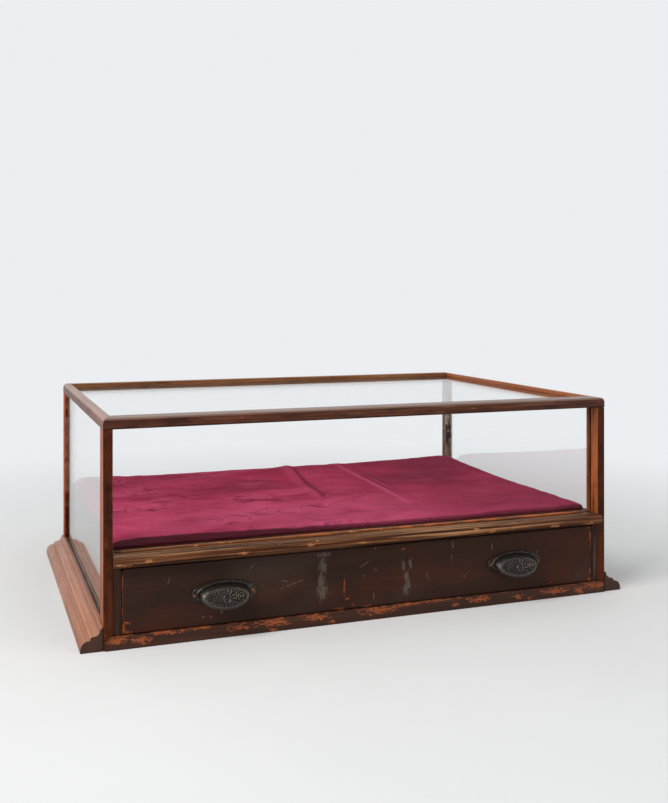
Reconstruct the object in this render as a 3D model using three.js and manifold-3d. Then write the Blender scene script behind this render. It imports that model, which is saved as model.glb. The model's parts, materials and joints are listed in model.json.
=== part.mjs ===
// Haberdashery cabinet: a glazed counter-top display case with one shallow drawer below the display floor.
// Millimetres. +X is to the right, +Y to the back, +Z up. The origin is under the middle of the whole object.
import * as THREE from 'three';
import { mergeVertices } from 'three/addons/utils/BufferGeometryUtils.js';
import Module from 'manifold-3d';

const wasm = await Module();
wasm.setup();

// Case: overall driving dimensions
const caseWidth = 850; // across the outer faces of the posts
const caseDepth = 600; // from the front of the front posts to the back of the rear posts
const caseHeight = 334;
const fit = 0.3; // clearance between pieces that meet
const overrun = 2; // how far a cutting shape runs past the face it cuts
const arcSteps = 6; // straight facets in a quarter round

// Posts and top frame
const postWidth = 14;
const frontPostDepth = 34;
const rearPostDepth = 22;
const postArris = 1.2;
const topRailHeight = 16.5;
const topRailRound = 8; // radius of the outer top arris
const topRailArris = 1.2; // radius of the front rail's long edges

// Glass
const glassThickness = 3;
const paneGrooveDepth = 4;
const topGrooveDepth = 5;
const glassRecess = 7; // from the top of the rails down to the top glass
const frontLand = 20.5; // wood in front of the front pane
const sideLand = 5; // wood outside each side pane

// Bottom of the case
const baseProjection = 32;
const baseHeight = 34;
const bottomRailHeight = 19.5;
const bottomRailProud = 3;
const bottomRailLap = 11; // how far the applied rail covers each post's foot
const bottomRailRound = 8;

// Base moulding, from the foot up: toe, ovolo, step, small ovolo, cavetto and a top bead
const mouldingToe = 4; // upright edge at the foot
const ovoloRise = 13;
const ovoloOut = 12.2;
const stepIn = 2;
const stepRise = 2.4;
const upperOvoloOut = 3.5;
const upperOvoloRise = 2.6;
const cavettoOut = 10;
const cavettoRise = 7;

// Sill and display floor
const sillTop = 135;
const sillHeight = 19;
const sillSetBack = 0.8; // the face below the nosing, behind the front of the posts
const nosingHeight = 15;
const nosingReach = 15.5;
const quirkDepth = 1;
const sillBeadHeight = 3;
const sillBeadDepth = 6;
const sillBeadEndGap = 13; // between the bead's left end and the post
const sillBeadBrokenGap = 22; // the same at the right end, where a piece has broken off
const deckThickness = 10;

// Drawer bay
const baySideWall = 12; // from the faces of the posts to the open width of the bay
const baySideSetBack = 1.5;
const floorLift = 8;
const floorThickness = 8;
const backBoardThickness = 8;
const backBoardSetBack = 4;
const runnerWidth = 16;
const kickerWidth = 12;
const kickerClearance = 1;
const stopWidth = 14;
const stopLength = 14;
const stopHeight = 16;

// Drawer
const drawerEndGap = 1; // between the drawer front and the bay side
const drawerEdgeGap = 1.5; // above and below the drawer front
const drawerRearRoom = 52; // behind the drawer, for its stops and the back of the case
const drawerFrontThickness = 20;
const drawerFrontSetBack = 0.5;
const drawerFrontRound = 5; // radius of the drawer front's upper corners
const drawerFrontArris = 1.5;
const drawerLift = 22; // lower edge of the drawer sides
const drawerSideHeight = 80;
const drawerSideThickness = 10;
const drawerBackThickness = 10;
const drawerBackDrop = 4; // top of the back below the top of the sides
const drawerBottomThickness = 6;
const drawerBottomLift = 8.3; // underside of the bottom above the lower edge of the sides
const drawerGrooveDepth = 5;

// Dovetails
const tailCount = 3;
const tailReach = 14;
const tailRoot = 12;
const tailFlare = 2;
const pinCount = 3;
const pinRoot = 10;
const pinFlare = 1.6;

// Cup pulls
const pullEndGap = 151; // between the drawer front's end and the middle of a pull
const pullHeight = 67; // height of their middle above the table
const pullLength = 101;
const pullRise = 19; // half height of the oval
const pullProjection = 24.5;
const pullWall = 2.4;
const flangeThickness = 2;
const flangeStep = 1.6; // extra thickness of the inner step of the rim
const flangeStepEndInset = 10; // the step's ends inside the flange's ends
const flangeStepInset = 2; // the step's edge inside the flange's edge, at the top
const hoodEndInset = 1.5; // the hood's ends inside the step's ends
const hoodInset = 2.5; // the hood's edge inside the step's edge, at the top
const hoodFullness = 0.6;
const medallionEndInset = 6; // the medallion's ends inside the hood's ends
const medallionRise = 12.5;
const medallionDrop = 3;
const medallionBead = 1.1;
const screwEndInset = 6; // the middle of a screw inside the flange's end
const screwHeadRadius = 3.3;
const screwHeadHeight = 1.7;
const screwShankRadius = 1.6;
const screwShankLength = 13;
const screwSlotWidth = 0.9;
const screwSlotDepth = 0.7;
const screwDrop = 1;
const screwSides = 12;
const hoodRings = 20;
const hoodRingSteps = 6;
const hoodWallShare = 0.33; // the wall's most, as a share of the hood where it thins out at its ends
const medallionTurns = 28;
const medallionBeadSides = 6;

// Satin bed
const bedSideGap = 3; // between the bed and the faces of the posts
const bedFrontGap = 2; // between the bed and the front sill
const bedRearGap = 14; // between the bed and the rear posts
const bedBoardThickness = 5;
const bedBoardInset = 2; // the board's edges inside the pad's edges
const padRearThickness = 11.7; // cloth and wadding above the board
const padFrontThickness = 5.7;
const padEdgeThickness = 2.2;
const padEdgeRound = 7;
const padCrown = 1.6;
const foldHeight = 2.2;
const foldWidth = 9;
const rippleHeight = 0.5;
const rippleLength = 74;
const bedColumns = 38;
const bedRows = 24;

// Places worked out from the sizes above
const postInner = caseWidth / 2 - postWidth;
const postHeight = caseHeight - topRailHeight - fit;
const innerLength = caseDepth - frontPostDepth - rearPostDepth;
const paneGroove = glassThickness + fit + fit;
const rebateWidth = postWidth - sideLand - paneGroove;
const sillGrooveFloor = sillTop - paneGrooveDepth;
const baseGrooveFloor = baseHeight - paneGrooveDepth;
const sillUnderside = sillTop - sillHeight;
const bayHalf = postInner - baySideWall;
const floorTop = floorLift + floorThickness;
const baySideTop = sillTop - deckThickness - fit;
const innerHalf = postInner + rebateWidth; // to the inner faces of the side panes' grooves
const drawerHalf = bayHalf - drawerEndGap;
const drawerInnerHalf = drawerHalf - drawerSideThickness;
const drawerLength = caseDepth - drawerRearRoom;
const pullSpacing = 2 * (drawerHalf - pullEndGap);
const screwSpacing = pullLength - 2 * screwEndInset;
const flangeStepLength = pullLength - 2 * flangeStepEndInset;
const hoodLength = flangeStepLength - 2 * hoodEndInset;
const medallionLength = hoodLength - 2 * medallionEndInset;
const frontReach = pullProjection + medallionBead - drawerFrontSetBack + fit;

// Colours, roughness and metalness
const finishes = {
  mahogany: { color: 0x5a2d19, roughness: 0.4, metalness: 0 },
  moulding: { color: 0x8a5238, roughness: 0.45, metalness: 0 },
  darkPanel: { color: 0x2d201c, roughness: 0.45, metalness: 0 },
  bareWood: { color: 0xb98d5c, roughness: 0.75, metalness: 0 },
  wornBead: { color: 0xaf5f32, roughness: 0.6, metalness: 0 },
  glass: { color: 0xe8f0f0, roughness: 0.05, metalness: 0, transparent: true, opacity: 0.3 },
  satin: { color: 0x962a4e, roughness: 0.45, metalness: 0 },
  castMetal: { color: 0x3a3936, roughness: 0.5, metalness: 0.8 },
  screwMetal: { color: 0x8a5f3a, roughness: 0.55, metalness: 0.8 },
};

// Directions of an outline's two axes and of its extrusion, for each extrusion axis
const basis = {
  x: new THREE.Matrix4().makeBasis(
    new THREE.Vector3(0, 1, 0), new THREE.Vector3(0, 0, 1), new THREE.Vector3(1, 0, 0)),
  y: new THREE.Matrix4().makeBasis(
    new THREE.Vector3(0, 0, 1), new THREE.Vector3(1, 0, 0), new THREE.Vector3(0, 1, 0)),
  z: new THREE.Matrix4(),
};

// A closed outline extruded between two planes. Outlines are [y, z] along x, [x, z] along y and [x, y] along z.
function prism(axis, outline, low, high) {
  const points = outline.map(([a, b]) => (axis === 'y' ? new THREE.Vector2(b, a) : new THREE.Vector2(a, b)));
  const geometry = new THREE.ExtrudeGeometry(new THREE.Shape(points), { depth: high - low, bevelEnabled: false });
  geometry.translate(0, 0, low);
  geometry.applyMatrix4(basis[axis]);
  return geometry;
}

// A rectangular block between two corners
function block([x0, y0, z0], [x1, y1, z1]) {
  const geometry = new THREE.BoxGeometry(x1 - x0, y1 - y0, z1 - z0);
  geometry.translate((x0 + x1) / 2, (y0 + y1) / 2, (z0 + z1) / 2);
  return geometry;
}

// Points on an elliptical arc, angles in quarter turns from the first axis
function arc(centre, radii, fromQuarter, toQuarter, steps = arcSteps) {
  const points = [];
  for (let i = 0; i <= steps; i += 1) {
    const angle = (fromQuarter + ((toQuarter - fromQuarter) * i) / steps) * (Math.PI / 2);
    points.push([centre[0] + radii[0] * Math.cos(angle), centre[1] + radii[1] * Math.sin(angle)]);
  }
  return points;
}

// A rectangle outline with a radius for each corner: low-low, high-low, high-high, low-high
function roundedRectangle([a0, b0], [a1, b1], [r0, r1, r2, r3]) {
  const corner = (centreA, centreB, radius, quarter, plain) =>
    (radius > 0 ? arc([centreA, centreB], [radius, radius], quarter, quarter + 1) : [plain]);
  return [
    ...corner(a0 + r0, b0 + r0, r0, 2, [a0, b0]),
    ...corner(a1 - r1, b0 + r1, r1, 3, [a1, b0]),
    ...corner(a1 - r2, b1 - r2, r2, 0, [a1, b1]),
    ...corner(a0 + r3, b1 - r3, r3, 1, [a0, b1]),
  ];
}

// Booleans
function toSolid(geometry) {
  const bare = new THREE.BufferGeometry();
  bare.setAttribute('position', geometry.attributes.position.clone());
  if (geometry.index) bare.setIndex(geometry.index.clone());
  const merged = mergeVertices(bare);
  return new wasm.Manifold(new wasm.Mesh({
    numProp: 3,
    vertProperties: new Float32Array(merged.attributes.position.array),
    triVerts: new Uint32Array(merged.index.array),
  }));
}

function toGeometry(solid) {
  const mesh = solid.getMesh();
  const shared = new THREE.BufferGeometry();
  shared.setAttribute('position', new THREE.BufferAttribute(new Float32Array(mesh.vertProperties), mesh.numProp));
  shared.setIndex(new THREE.BufferAttribute(new Uint32Array(mesh.triVerts), 1));
  const geometry = shared.toNonIndexed();
  geometry.computeVertexNormals();
  return geometry;
}

function cut(base, ...tools) {
  const solid = tools.reduce((rest, tool) => rest.subtract(toSolid(tool)), toSolid(base));
  return toGeometry(solid);
}

function join(first, ...others) {
  const solid = others.reduce((sum, other) => sum.add(toSolid(other)), toSolid(first));
  return toGeometry(solid);
}

function common(first, second) {
  return toGeometry(toSolid(first).intersect(toSolid(second)));
}

// The mirror image of a right-hand piece, with its faces still pointing out
function mirrored(geometry) {
  const image = geometry.index ? geometry.toNonIndexed() : geometry.clone();
  image.scale(-1, 1, 1);
  const position = image.attributes.position;
  const second = new THREE.Vector3();
  const third = new THREE.Vector3();
  for (let i = 0; i < position.count; i += 3) {
    second.fromBufferAttribute(position, i + 1);
    third.fromBufferAttribute(position, i + 2);
    position.setXYZ(i + 1, third.x, third.y, third.z);
    position.setXYZ(i + 2, second.x, second.y, second.z);
  }
  image.computeVertexNormals();
  return image;
}

// A closed body through rings of equal point counts, capped at both ends
function loft(rings) {
  const count = rings[0].length;
  const positions = rings.flat(2);
  const index = [];
  for (let r = 0; r + 1 < rings.length; r += 1) {
    for (let i = 0; i < count; i += 1) {
      const a = r * count + i;
      const b = r * count + ((i + 1) % count);
      index.push(a, b, b + count, a, b + count, a + count);
    }
  }
  const last = (rings.length - 1) * count;
  for (let i = 1; i + 1 < count; i += 1) {
    index.push(0, i + 1, i);
    index.push(last, last + i, last + i + 1);
  }
  const geometry = new THREE.BufferGeometry();
  geometry.setAttribute('position', new THREE.Float32BufferAttribute(positions, 3));
  geometry.setIndex(index);
  geometry.computeVertexNormals();
  return geometry;
}

// Groups: the cabinet, the fixed case and the sliding drawer, with y = 0 on the front of the posts
const cabinet = new THREE.Group();
const fixedCase = new THREE.Group();
const drawer = new THREE.Group();
fixedCase.position.set(0, frontReach / 2 - caseDepth / 2, 0);
drawer.position.copy(fixedCase.position);
drawer.position.y += drawerFrontSetBack;
cabinet.add(fixedCase, drawer);

function add(group, name, finish, geometry, x = 0, y = 0, z = 0) {
  const mesh = new THREE.Mesh(geometry, new THREE.MeshStandardMaterial(finishes[finish]));
  mesh.name = name;
  mesh.position.set(x, y, z);
  group.add(mesh);
}

// The same piece on both sides: built for the right, mirrored for the left
function addPair(group, nameFor, finish, geometry, x, y = 0, z = 0) {
  add(group, nameFor('right'), finish, geometry, x, y, z);
  add(group, nameFor('left'), finish, mirrored(geometry), -x, y, z);
}

// Posts: x runs outwards from the inner face
function frontPost() {
  const section = roundedRectangle([0, 0], [postWidth, frontPostDepth], [postArris, postArris, 0, 0]);
  const top = postHeight + overrun;
  const back = frontPostDepth + overrun;
  const paneAndBead = block([-overrun, frontLand, sillGrooveFloor], [rebateWidth, back, top]);
  const sidePane = block(
    [rebateWidth, frontPostDepth - paneGrooveDepth, baseGrooveFloor], [rebateWidth + paneGroove, back, top]);
  return cut(prism('z', section, 0, postHeight), paneAndBead, sidePane);
}

function rearPost() {
  const section = roundedRectangle([0, 0], [postWidth, rearPostDepth], [0, 0, postArris, postArris]);
  const sidePane = block(
    [rebateWidth, -overrun, baseGrooveFloor], [rebateWidth + paneGroove, paneGrooveDepth, postHeight + overrun]);
  return cut(prism('z', section, 0, postHeight), sidePane);
}

// Top frame: every rail is cut from the frame's outline, so the outer round runs on round the corners
const frameOutline = roundedRectangle(
  [-caseWidth / 2, 0], [caseWidth / 2, topRailHeight], [0, 0, topRailRound, topRailRound]);
const topGrooveLow = topRailHeight - glassRecess - glassThickness - fit;
const topGrooveHigh = topRailHeight - glassRecess + fit;

// A mitred rail across the front or the back; its long outer edges have a small round
function crossRail(depth, outerEdge) {
  const innerEdge = depth - outerEdge;
  const plan = [
    [-caseWidth / 2, outerEdge], [caseWidth / 2, outerEdge], [postInner, innerEdge], [-postInner, innerEdge]];
  const radii = outerEdge === 0 ? [topRailArris, 0, 0, topRailArris] : [0, topRailArris, topRailArris, 0];
  const section = roundedRectangle([0, 0], [depth, topRailHeight], radii);
  const outer = common(prism('y', frameOutline, 0, depth), prism('z', plan, -overrun, topRailHeight + overrun));
  return common(outer, prism('x', section, -caseWidth / 2 - overrun, caseWidth / 2 + overrun));
}

function frontTopRail() {
  const half = caseWidth / 2 + overrun;
  const pane = block([-half, frontLand, -overrun], [half, frontLand + paneGroove, paneGrooveDepth]);
  const top = block(
    [-half, frontPostDepth - topGrooveDepth, topGrooveLow], [half, frontPostDepth + overrun, topGrooveHigh]);
  return cut(crossRail(frontPostDepth, 0), pane, top);
}

function rearTopRail() {
  const half = caseWidth / 2 + overrun;
  const top = block([-half, -overrun, topGrooveLow], [half, topGrooveDepth, topGrooveHigh]);
  return cut(crossRail(rearPostDepth, rearPostDepth), top);
}

function sideTopRail() {
  const outline = roundedRectangle([0, 0], [postWidth, topRailHeight], [0, 0, topRailRound, 0]);
  const plan = [
    [0, frontPostDepth + fit], [postWidth, fit],
    [postWidth, caseDepth - fit], [0, caseDepth - rearPostDepth - fit]];
  const rail = common(
    prism('y', outline, 0, caseDepth), prism('z', plan, -overrun, topRailHeight + overrun));
  const pane = block([rebateWidth, -overrun, -overrun], [rebateWidth + paneGroove, caseDepth, paneGrooveDepth]);
  const frontPane = block([-overrun, frontLand, -overrun], [rebateWidth, frontLand + paneGroove, paneGrooveDepth]);
  const top = block([-overrun, -overrun, topGrooveLow], [topGrooveDepth, caseDepth, topGrooveHigh]);
  return cut(rail, pane, frontPane, top);
}

// Glazing: y is from the front of the posts, z from the table
function pane(width, depth, height) {
  return block([-width / 2, 0, 0], [width / 2, depth, height]);
}

function addGlass() {
  const upperEdge = caseHeight - topRailHeight + paneGrooveDepth - fit;
  const frontFoot = sillGrooveFloor + fit;
  const frontWidth = 2 * (innerHalf - fit);
  add(fixedCase, 'front_glass', 'glass',
    pane(frontWidth, glassThickness, upperEdge - frontFoot), 0, frontLand + fit, frontFoot);
  const sideFoot = baseGrooveFloor + fit;
  const sideLength = innerLength + 2 * (paneGrooveDepth - fit);
  addPair(fixedCase, (side) => `${side}_glass`, 'glass',
    pane(glassThickness, sideLength, upperEdge - sideFoot),
    innerHalf + fit + glassThickness / 2, frontPostDepth - paneGrooveDepth + fit, sideFoot);
  const topWidth = 2 * (postInner + topGrooveDepth - fit);
  const topLength = innerLength + 2 * (topGrooveDepth - fit);
  add(fixedCase, 'top_glass', 'glass', pane(topWidth, topLength, glassThickness),
    0, frontPostDepth - topGrooveDepth + fit, caseHeight - glassRecess - glassThickness);
}

// Square bead with one soft edge, in the front post's rebate
function cornerBead() {
  const section = roundedRectangle(
    [0, frontLand + paneGroove], [rebateWidth - fit, frontPostDepth], [0, 0, 0, postArris]);
  return prism('z', section, 0, postHeight - sillGrooveFloor - fit);
}

function sillBead() {
  const front = frontLand - sillBeadDepth;
  const section = roundedRectangle([front, 0], [frontLand, sillBeadHeight], [0, 0, 0, sillBeadHeight / 2]);
  return prism('x', section, -postInner + sillBeadEndGap, postInner - sillBeadBrokenGap);
}

// Nosed sill: profile in y and z, z down from the sill's top
function frontSill() {
  const radius = nosingHeight / 2;
  const centre = [radius - nosingReach, -radius];
  const quirkQuarter = Math.asin((radius - quirkDepth) / radius) / (Math.PI / 2);
  const nosing = arc(centre, [radius, radius], quirkQuarter, 3, 2 * arcSteps);
  const quirkY = nosing[0][0];
  const profile = [
    [quirkY, 0], ...nosing, [sillSetBack, -nosingHeight], [sillSetBack, -sillHeight],
    [frontPostDepth, -sillHeight], [frontPostDepth, 0]];
  const half = postInner - fit;
  const groove = block([-caseWidth, frontLand, -paneGrooveDepth], [caseWidth, frontLand + paneGroove, overrun]);
  return cut(prism('x', profile, -half, half), groove);
}

// Applied rail below the drawer: a plate over the posts' feet and a body between them
function bottomFrontRail() {
  const plateHalf = postInner + bottomRailLap;
  const outline = roundedRectangle(
    [-plateHalf, 0], [plateHalf, bottomRailHeight], [0, 0, bottomRailRound, bottomRailRound]);
  const plate = prism('y', outline, -bottomRailProud, -fit);
  const half = postInner - fit;
  const body = block([-half, -bottomRailProud / 2, 0], [half, frontPostDepth, bottomRailHeight]);
  return join(plate, body);
}

// Base moulding: profile in x and z, from the post's outer face outwards
function baseMoulding() {
  const reach = baseProjection - fit;
  const ovoloX = reach - ovoloOut;
  const stepZ = mouldingToe + ovoloRise;
  const upperX = ovoloX - stepIn;
  const upperZ = stepZ + stepRise;
  const cavettoX = upperX - upperOvoloOut;
  const cavettoZ = upperZ + upperOvoloRise;
  const beadX = cavettoX - cavettoOut;
  const beadZ = cavettoZ + cavettoRise;
  const profile = [
    [0, 0], [reach, 0],
    ...arc([ovoloX, mouldingToe], [ovoloOut, ovoloRise], 0, 1),
    [upperX, stepZ],
    ...arc([cavettoX, upperZ], [upperOvoloOut, upperOvoloRise], 0, 1, arcSteps / 2),
    ...arc([cavettoX, beadZ], [cavettoOut, cavettoRise], 3, 2).slice(1),
    ...arc([0, beadZ], [beadX, baseHeight - beadZ], 0, 1, arcSteps / 2).slice(1),
  ];
  return prism('y', profile, 0, caseDepth);
}

function sideBottomRail() {
  const rail = block([0, fit, 0], [postWidth, innerLength - fit, baseHeight]);
  const groove = block(
    [rebateWidth, -overrun, baseGrooveFloor], [rebateWidth + paneGroove, caseDepth, baseHeight + overrun]);
  return cut(rail, groove);
}

// Board beside the drawer: thin past the posts, thick between them, notched under the sill and over the rails
function baySide() {
  const between = frontPostDepth + fit;
  const rear = frontPostDepth + innerLength - fit;
  const outline = [
    [baySideSetBack, bottomRailHeight + fit], [between, bottomRailHeight + fit], [between, floorTop + fit],
    [rear, floorTop + fit], [rear, baySideTop], [between, baySideTop],
    [between, sillUnderside - fit], [baySideSetBack, sillUnderside - fit]];
  const thin = prism('x', outline, bayHalf, postInner - fit);
  const thick = block([postInner - overrun, between, baseHeight + fit], [innerHalf - fit, rear, baySideTop]);
  return join(thin, thick);
}

// A board between the posts' lines, given by its half width and its lower and upper face
function floorBoard(half, low, high) {
  return block([-half, frontPostDepth + fit, low], [half, frontPostDepth + innerLength - fit, high]);
}

// Strips along the bay side: x is measured from the middle, on the right-hand side
function bayStrip(width, low, high, start = frontPostDepth + fit, end = frontPostDepth + innerLength - fit) {
  return block([bayHalf - fit - width, start, low], [bayHalf - fit, end, high]);
}

function addBay() {
  addPair(fixedCase, (side) => `${side}_bay_side`, 'darkPanel', baySide(), 0);
  add(fixedCase, 'case_floor', 'bareWood', floorBoard(postInner - fit, floorLift, floorTop));
  add(fixedCase, 'display_deck', 'bareWood', floorBoard(innerHalf - fit, sillTop - deckThickness, sillTop));
  const runnerTop = drawerLift - fit;
  addPair(fixedCase, (side) => `${side}_runner`, 'bareWood', bayStrip(runnerWidth, floorTop + fit, runnerTop), 0);
  const kickerLow = drawerLift + drawerSideHeight + kickerClearance;
  addPair(fixedCase, (side) => `${side}_kicker`, 'bareWood', bayStrip(kickerWidth, kickerLow, baySideTop), 0);
  const stopStart = drawerFrontSetBack + drawerLength + fit;
  addPair(fixedCase, (side) => `${side}_stop`, 'bareWood',
    bayStrip(stopWidth, drawerLift, drawerLift + stopHeight, stopStart, stopStart + stopLength), 0);
}

// Back of the case at drawer level
function addBack() {
  const half = postInner - fit;
  const front = caseDepth - rearPostDepth;
  add(fixedCase, 'bottom_rear_rail', 'mahogany', block([-half, front, 0], [half, caseDepth, bottomRailHeight]));
  add(fixedCase, 'rear_sill', 'mahogany', block([-half, front, sillUnderside], [half, caseDepth, sillTop]));
  const boardBack = caseDepth - backBoardSetBack;
  add(fixedCase, 'back_board', 'darkPanel', block(
    [-half, boardBack - backBoardThickness, bottomRailHeight + fit], [half, boardBack, sillUnderside - fit]));
}

// Satin bed: a padded cloth on a loose board, softer at its edges, with two pressed folds from front to back
const bedHalf = postInner - bedSideGap;
const bedLength = innerLength + fit - bedFrontGap - bedRearGap;
const foldShares = [
  { from: [0.07, 0.99], to: [-0.025, 0.37], strength: 1 },
  { from: [0.325, 0.98], to: [0.3, 0.17], strength: 0.9 },
  { from: [-0.7, 0.02], to: [-0.62, 0.12], strength: 0.7 },
];

function foldAt(x, y, { from, to, strength }) {
  const start = new THREE.Vector2(from[0] * bedHalf, from[1] * bedLength);
  const end = new THREE.Vector2(to[0] * bedHalf, to[1] * bedLength);
  const along = end.clone().sub(start);
  const point = new THREE.Vector2(x, y).sub(start);
  const share = THREE.MathUtils.clamp(point.dot(along) / along.lengthSq(), 0, 1);
  const distance = point.distanceTo(along.clone().multiplyScalar(share));
  return foldHeight * strength * Math.exp(-((distance / foldWidth) ** 2)) * Math.sqrt(1 - share);
}

function bedTop(x, y) {
  const share = y / bedLength;
  const across = x / bedHalf;
  const thickness = THREE.MathUtils.lerp(padFrontThickness, padRearThickness, share);
  const crown = padCrown * (1 - across * across);
  const folds = foldShares.reduce((sum, fold) => sum + foldAt(x, y, fold), 0);
  const ripple = rippleHeight * Math.sin((x + y / 2) / rippleLength * Math.PI * 2);
  const fromEdge = Math.min(bedHalf - Math.abs(x), y, bedLength - y);
  const inset = 1 - Math.min(fromEdge / padEdgeRound, 1);
  const full = thickness + crown + folds + ripple;
  return padEdgeThickness + (full - padEdgeThickness) * Math.sqrt(1 - inset * inset);
}

// Grid places, close together in the rounded edge and even between
function gridPlaces(length, count) {
  const edgeShares = [0, 0.15, 0.5, 1];
  const edge = edgeShares.map((share) => share * padEdgeRound);
  const middle = count - 2 * (edge.length - 1);
  const places = [...edge];
  for (let i = 1; i < middle; i += 1) {
    places.push(padEdgeRound + ((length - 2 * padEdgeRound) * i) / middle);
  }
  return [...places, ...edge.reverse().map((place) => length - place)];
}

function satinBed() {
  const xs = gridPlaces(2 * bedHalf, bedColumns);
  const ys = gridPlaces(bedLength, bedRows);
  const positions = [];
  const index = [];
  for (const y of ys) {
    for (const x of xs) positions.push(x - bedHalf, y, bedTop(x - bedHalf, y));
  }
  const columns = xs.length;
  const rows = ys.length;
  for (let r = 0; r + 1 < rows; r += 1) {
    for (let c = 0; c + 1 < columns; c += 1) {
      const a = r * columns + c;
      index.push(a, a + 1, a + columns + 1, a, a + columns + 1, a + columns);
    }
  }
  // The rim, counter-clockwise from above, with a lower copy and one point in the middle of the underside
  const rim = [];
  for (let c = 0; c + 1 < columns; c += 1) rim.push(c);
  for (let r = 0; r + 1 < rows; r += 1) rim.push(r * columns + columns - 1);
  for (let c = columns - 1; c > 0; c -= 1) rim.push((rows - 1) * columns + c);
  for (let r = rows - 1; r > 0; r -= 1) rim.push(r * columns);
  const lower = columns * rows;
  for (const corner of rim) positions.push(positions[3 * corner], positions[3 * corner + 1], 0);
  const centre = lower + rim.length;
  positions.push(0, bedLength / 2, 0);
  rim.forEach((corner, i) => {
    const next = (i + 1) % rim.length;
    index.push(corner, lower + i, lower + next, corner, lower + next, rim[next]);
    index.push(centre, lower + next, lower + i);
  });
  const cloth = new THREE.BufferGeometry();
  cloth.setAttribute('position', new THREE.Float32BufferAttribute(positions, 3));
  cloth.setIndex(index);
  return toGeometry(toSolid(cloth));
}

function bedBoard() {
  const half = bedHalf - bedBoardInset;
  return block([-half, bedBoardInset, 0], [half, bedLength - bedBoardInset, bedBoardThickness]);
}

// Drawer: y = 0 on the drawer front's face; z from the table
const drawerBottomLow = drawerLift + drawerBottomLift;
const drawerBottomTop = drawerBottomLow + drawerBottomThickness;
const backLow = drawerBottomTop + fit;
const backHigh = drawerLift + drawerSideHeight - drawerBackDrop;
const backFront = drawerLength - drawerBackThickness;

// Even spacing of dovetails over a height
function spread(low, high, count) {
  return Array.from({ length: count }, (_, i) => low + ((high - low) * (i + 0.5)) / count);
}

// One flared tail or pin in y and z: root width at y = root, wider at y = tip, with room round it
function dovetail(root, tip, centre, rootWidth, flare, room, low, high) {
  const sign = Math.sign(tip - root);
  const half = rootWidth / 2 + room;
  const outline = [
    [root - sign * overrun, centre - half], [root, centre - half],
    [tip + sign * room, centre - half - flare], [tip + sign * room, centre + half + flare],
    [root, centre + half], [root - sign * overrun, centre + half]];
  return prism('x', outline, low, high);
}

function frontTails(room, low, high) {
  const root = drawerFrontThickness + (room > 0 ? 0 : fit);
  const tip = drawerFrontThickness - tailReach;
  return spread(drawerLift, drawerLift + drawerSideHeight, tailCount)
    .map((centre) => dovetail(root, tip, centre, tailRoot, tailFlare, room, low, high));
}

// Pins of the back: widest where they leave the back's inner face, narrowing to the drawer's rear
function backPins(room, low, high) {
  return spread(backLow, backHigh, pinCount)
    .map((centre) => {
      const wide = pinRoot / 2 + room;
      const narrow = wide - pinFlare;
      const front = backFront - room;
      const rear = drawerLength + (room > 0 ? overrun : 0);
      return prism('x', [
        [front, centre - wide], [rear, centre - narrow], [rear, centre + narrow], [front, centre + wide]], low, high);
    });
}

// Right-hand side, x from its inner face outwards
function drawerSide() {
  const board = block(
    [0, drawerFrontThickness + fit, drawerLift],
    [drawerSideThickness, drawerLength, drawerLift + drawerSideHeight]);
  const whole = join(board, ...frontTails(0, 0, drawerSideThickness));
  const groove = block(
    [-overrun, -overrun, drawerBottomLow - fit],
    [drawerGrooveDepth, drawerLength + overrun, drawerBottomTop + fit]);
  return cut(whole, groove, ...backPins(fit, -overrun, drawerSideThickness + overrun));
}

function screwPlaces() {
  return [-1, 1].flatMap((pull) => [-1, 1].map((end) => (pull * pullSpacing + end * screwSpacing) / 2));
}

function drawerFront() {
  const low = bottomRailHeight + drawerEdgeGap;
  const high = sillUnderside - drawerEdgeGap;
  const outline = roundedRectangle(
    [-drawerHalf, low], [drawerHalf, high], [drawerFrontArris, drawerFrontArris, drawerFrontRound, drawerFrontRound]);
  const panel = prism('y', outline, 0, drawerFrontThickness);
  const end = drawerHalf + overrun;
  const sockets = [
    ...frontTails(fit, drawerInnerHalf - fit, end), ...frontTails(fit, -end, fit - drawerInnerHalf)];
  const grooveHalf = drawerInnerHalf + drawerGrooveDepth;
  const groove = block(
    [-grooveHalf, drawerFrontThickness - drawerGrooveDepth, drawerBottomLow - fit],
    [grooveHalf, drawerFrontThickness + overrun, drawerBottomTop + fit]);
  const holes = screwPlaces().map((x) => {
    const hole = screwHole(screwShankLength + overrun);
    hole.translate(x, 0, pullHeight - screwDrop);
    return hole;
  });
  return cut(panel, ...sockets, groove, ...holes);
}

function drawerBack() {
  const bodyHalf = drawerInnerHalf - fit;
  const body = block([-bodyHalf, backFront, backLow], [bodyHalf, drawerLength, backHigh]);
  const inside = bodyHalf - overrun;
  return join(body, ...backPins(0, inside, drawerHalf), ...backPins(0, -drawerHalf, -inside));
}

function drawerBottom() {
  const half = drawerInnerHalf + drawerGrooveDepth - fit;
  return block(
    [-half, drawerFrontThickness - drawerGrooveDepth + fit, drawerBottomLow], [half, drawerLength, drawerBottomTop]);
}

// Screws and their holes: turned round y, with the head in front
function screwHole(depth) {
  const radius = screwShankRadius + fit;
  const start = -overrun - flangeThickness;
  const profile = [[0, start], [radius, start], [radius, depth], [0, depth]];
  return new THREE.LatheGeometry(profile.map(([r, y]) => new THREE.Vector2(r, y)), screwSides);
}

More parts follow.
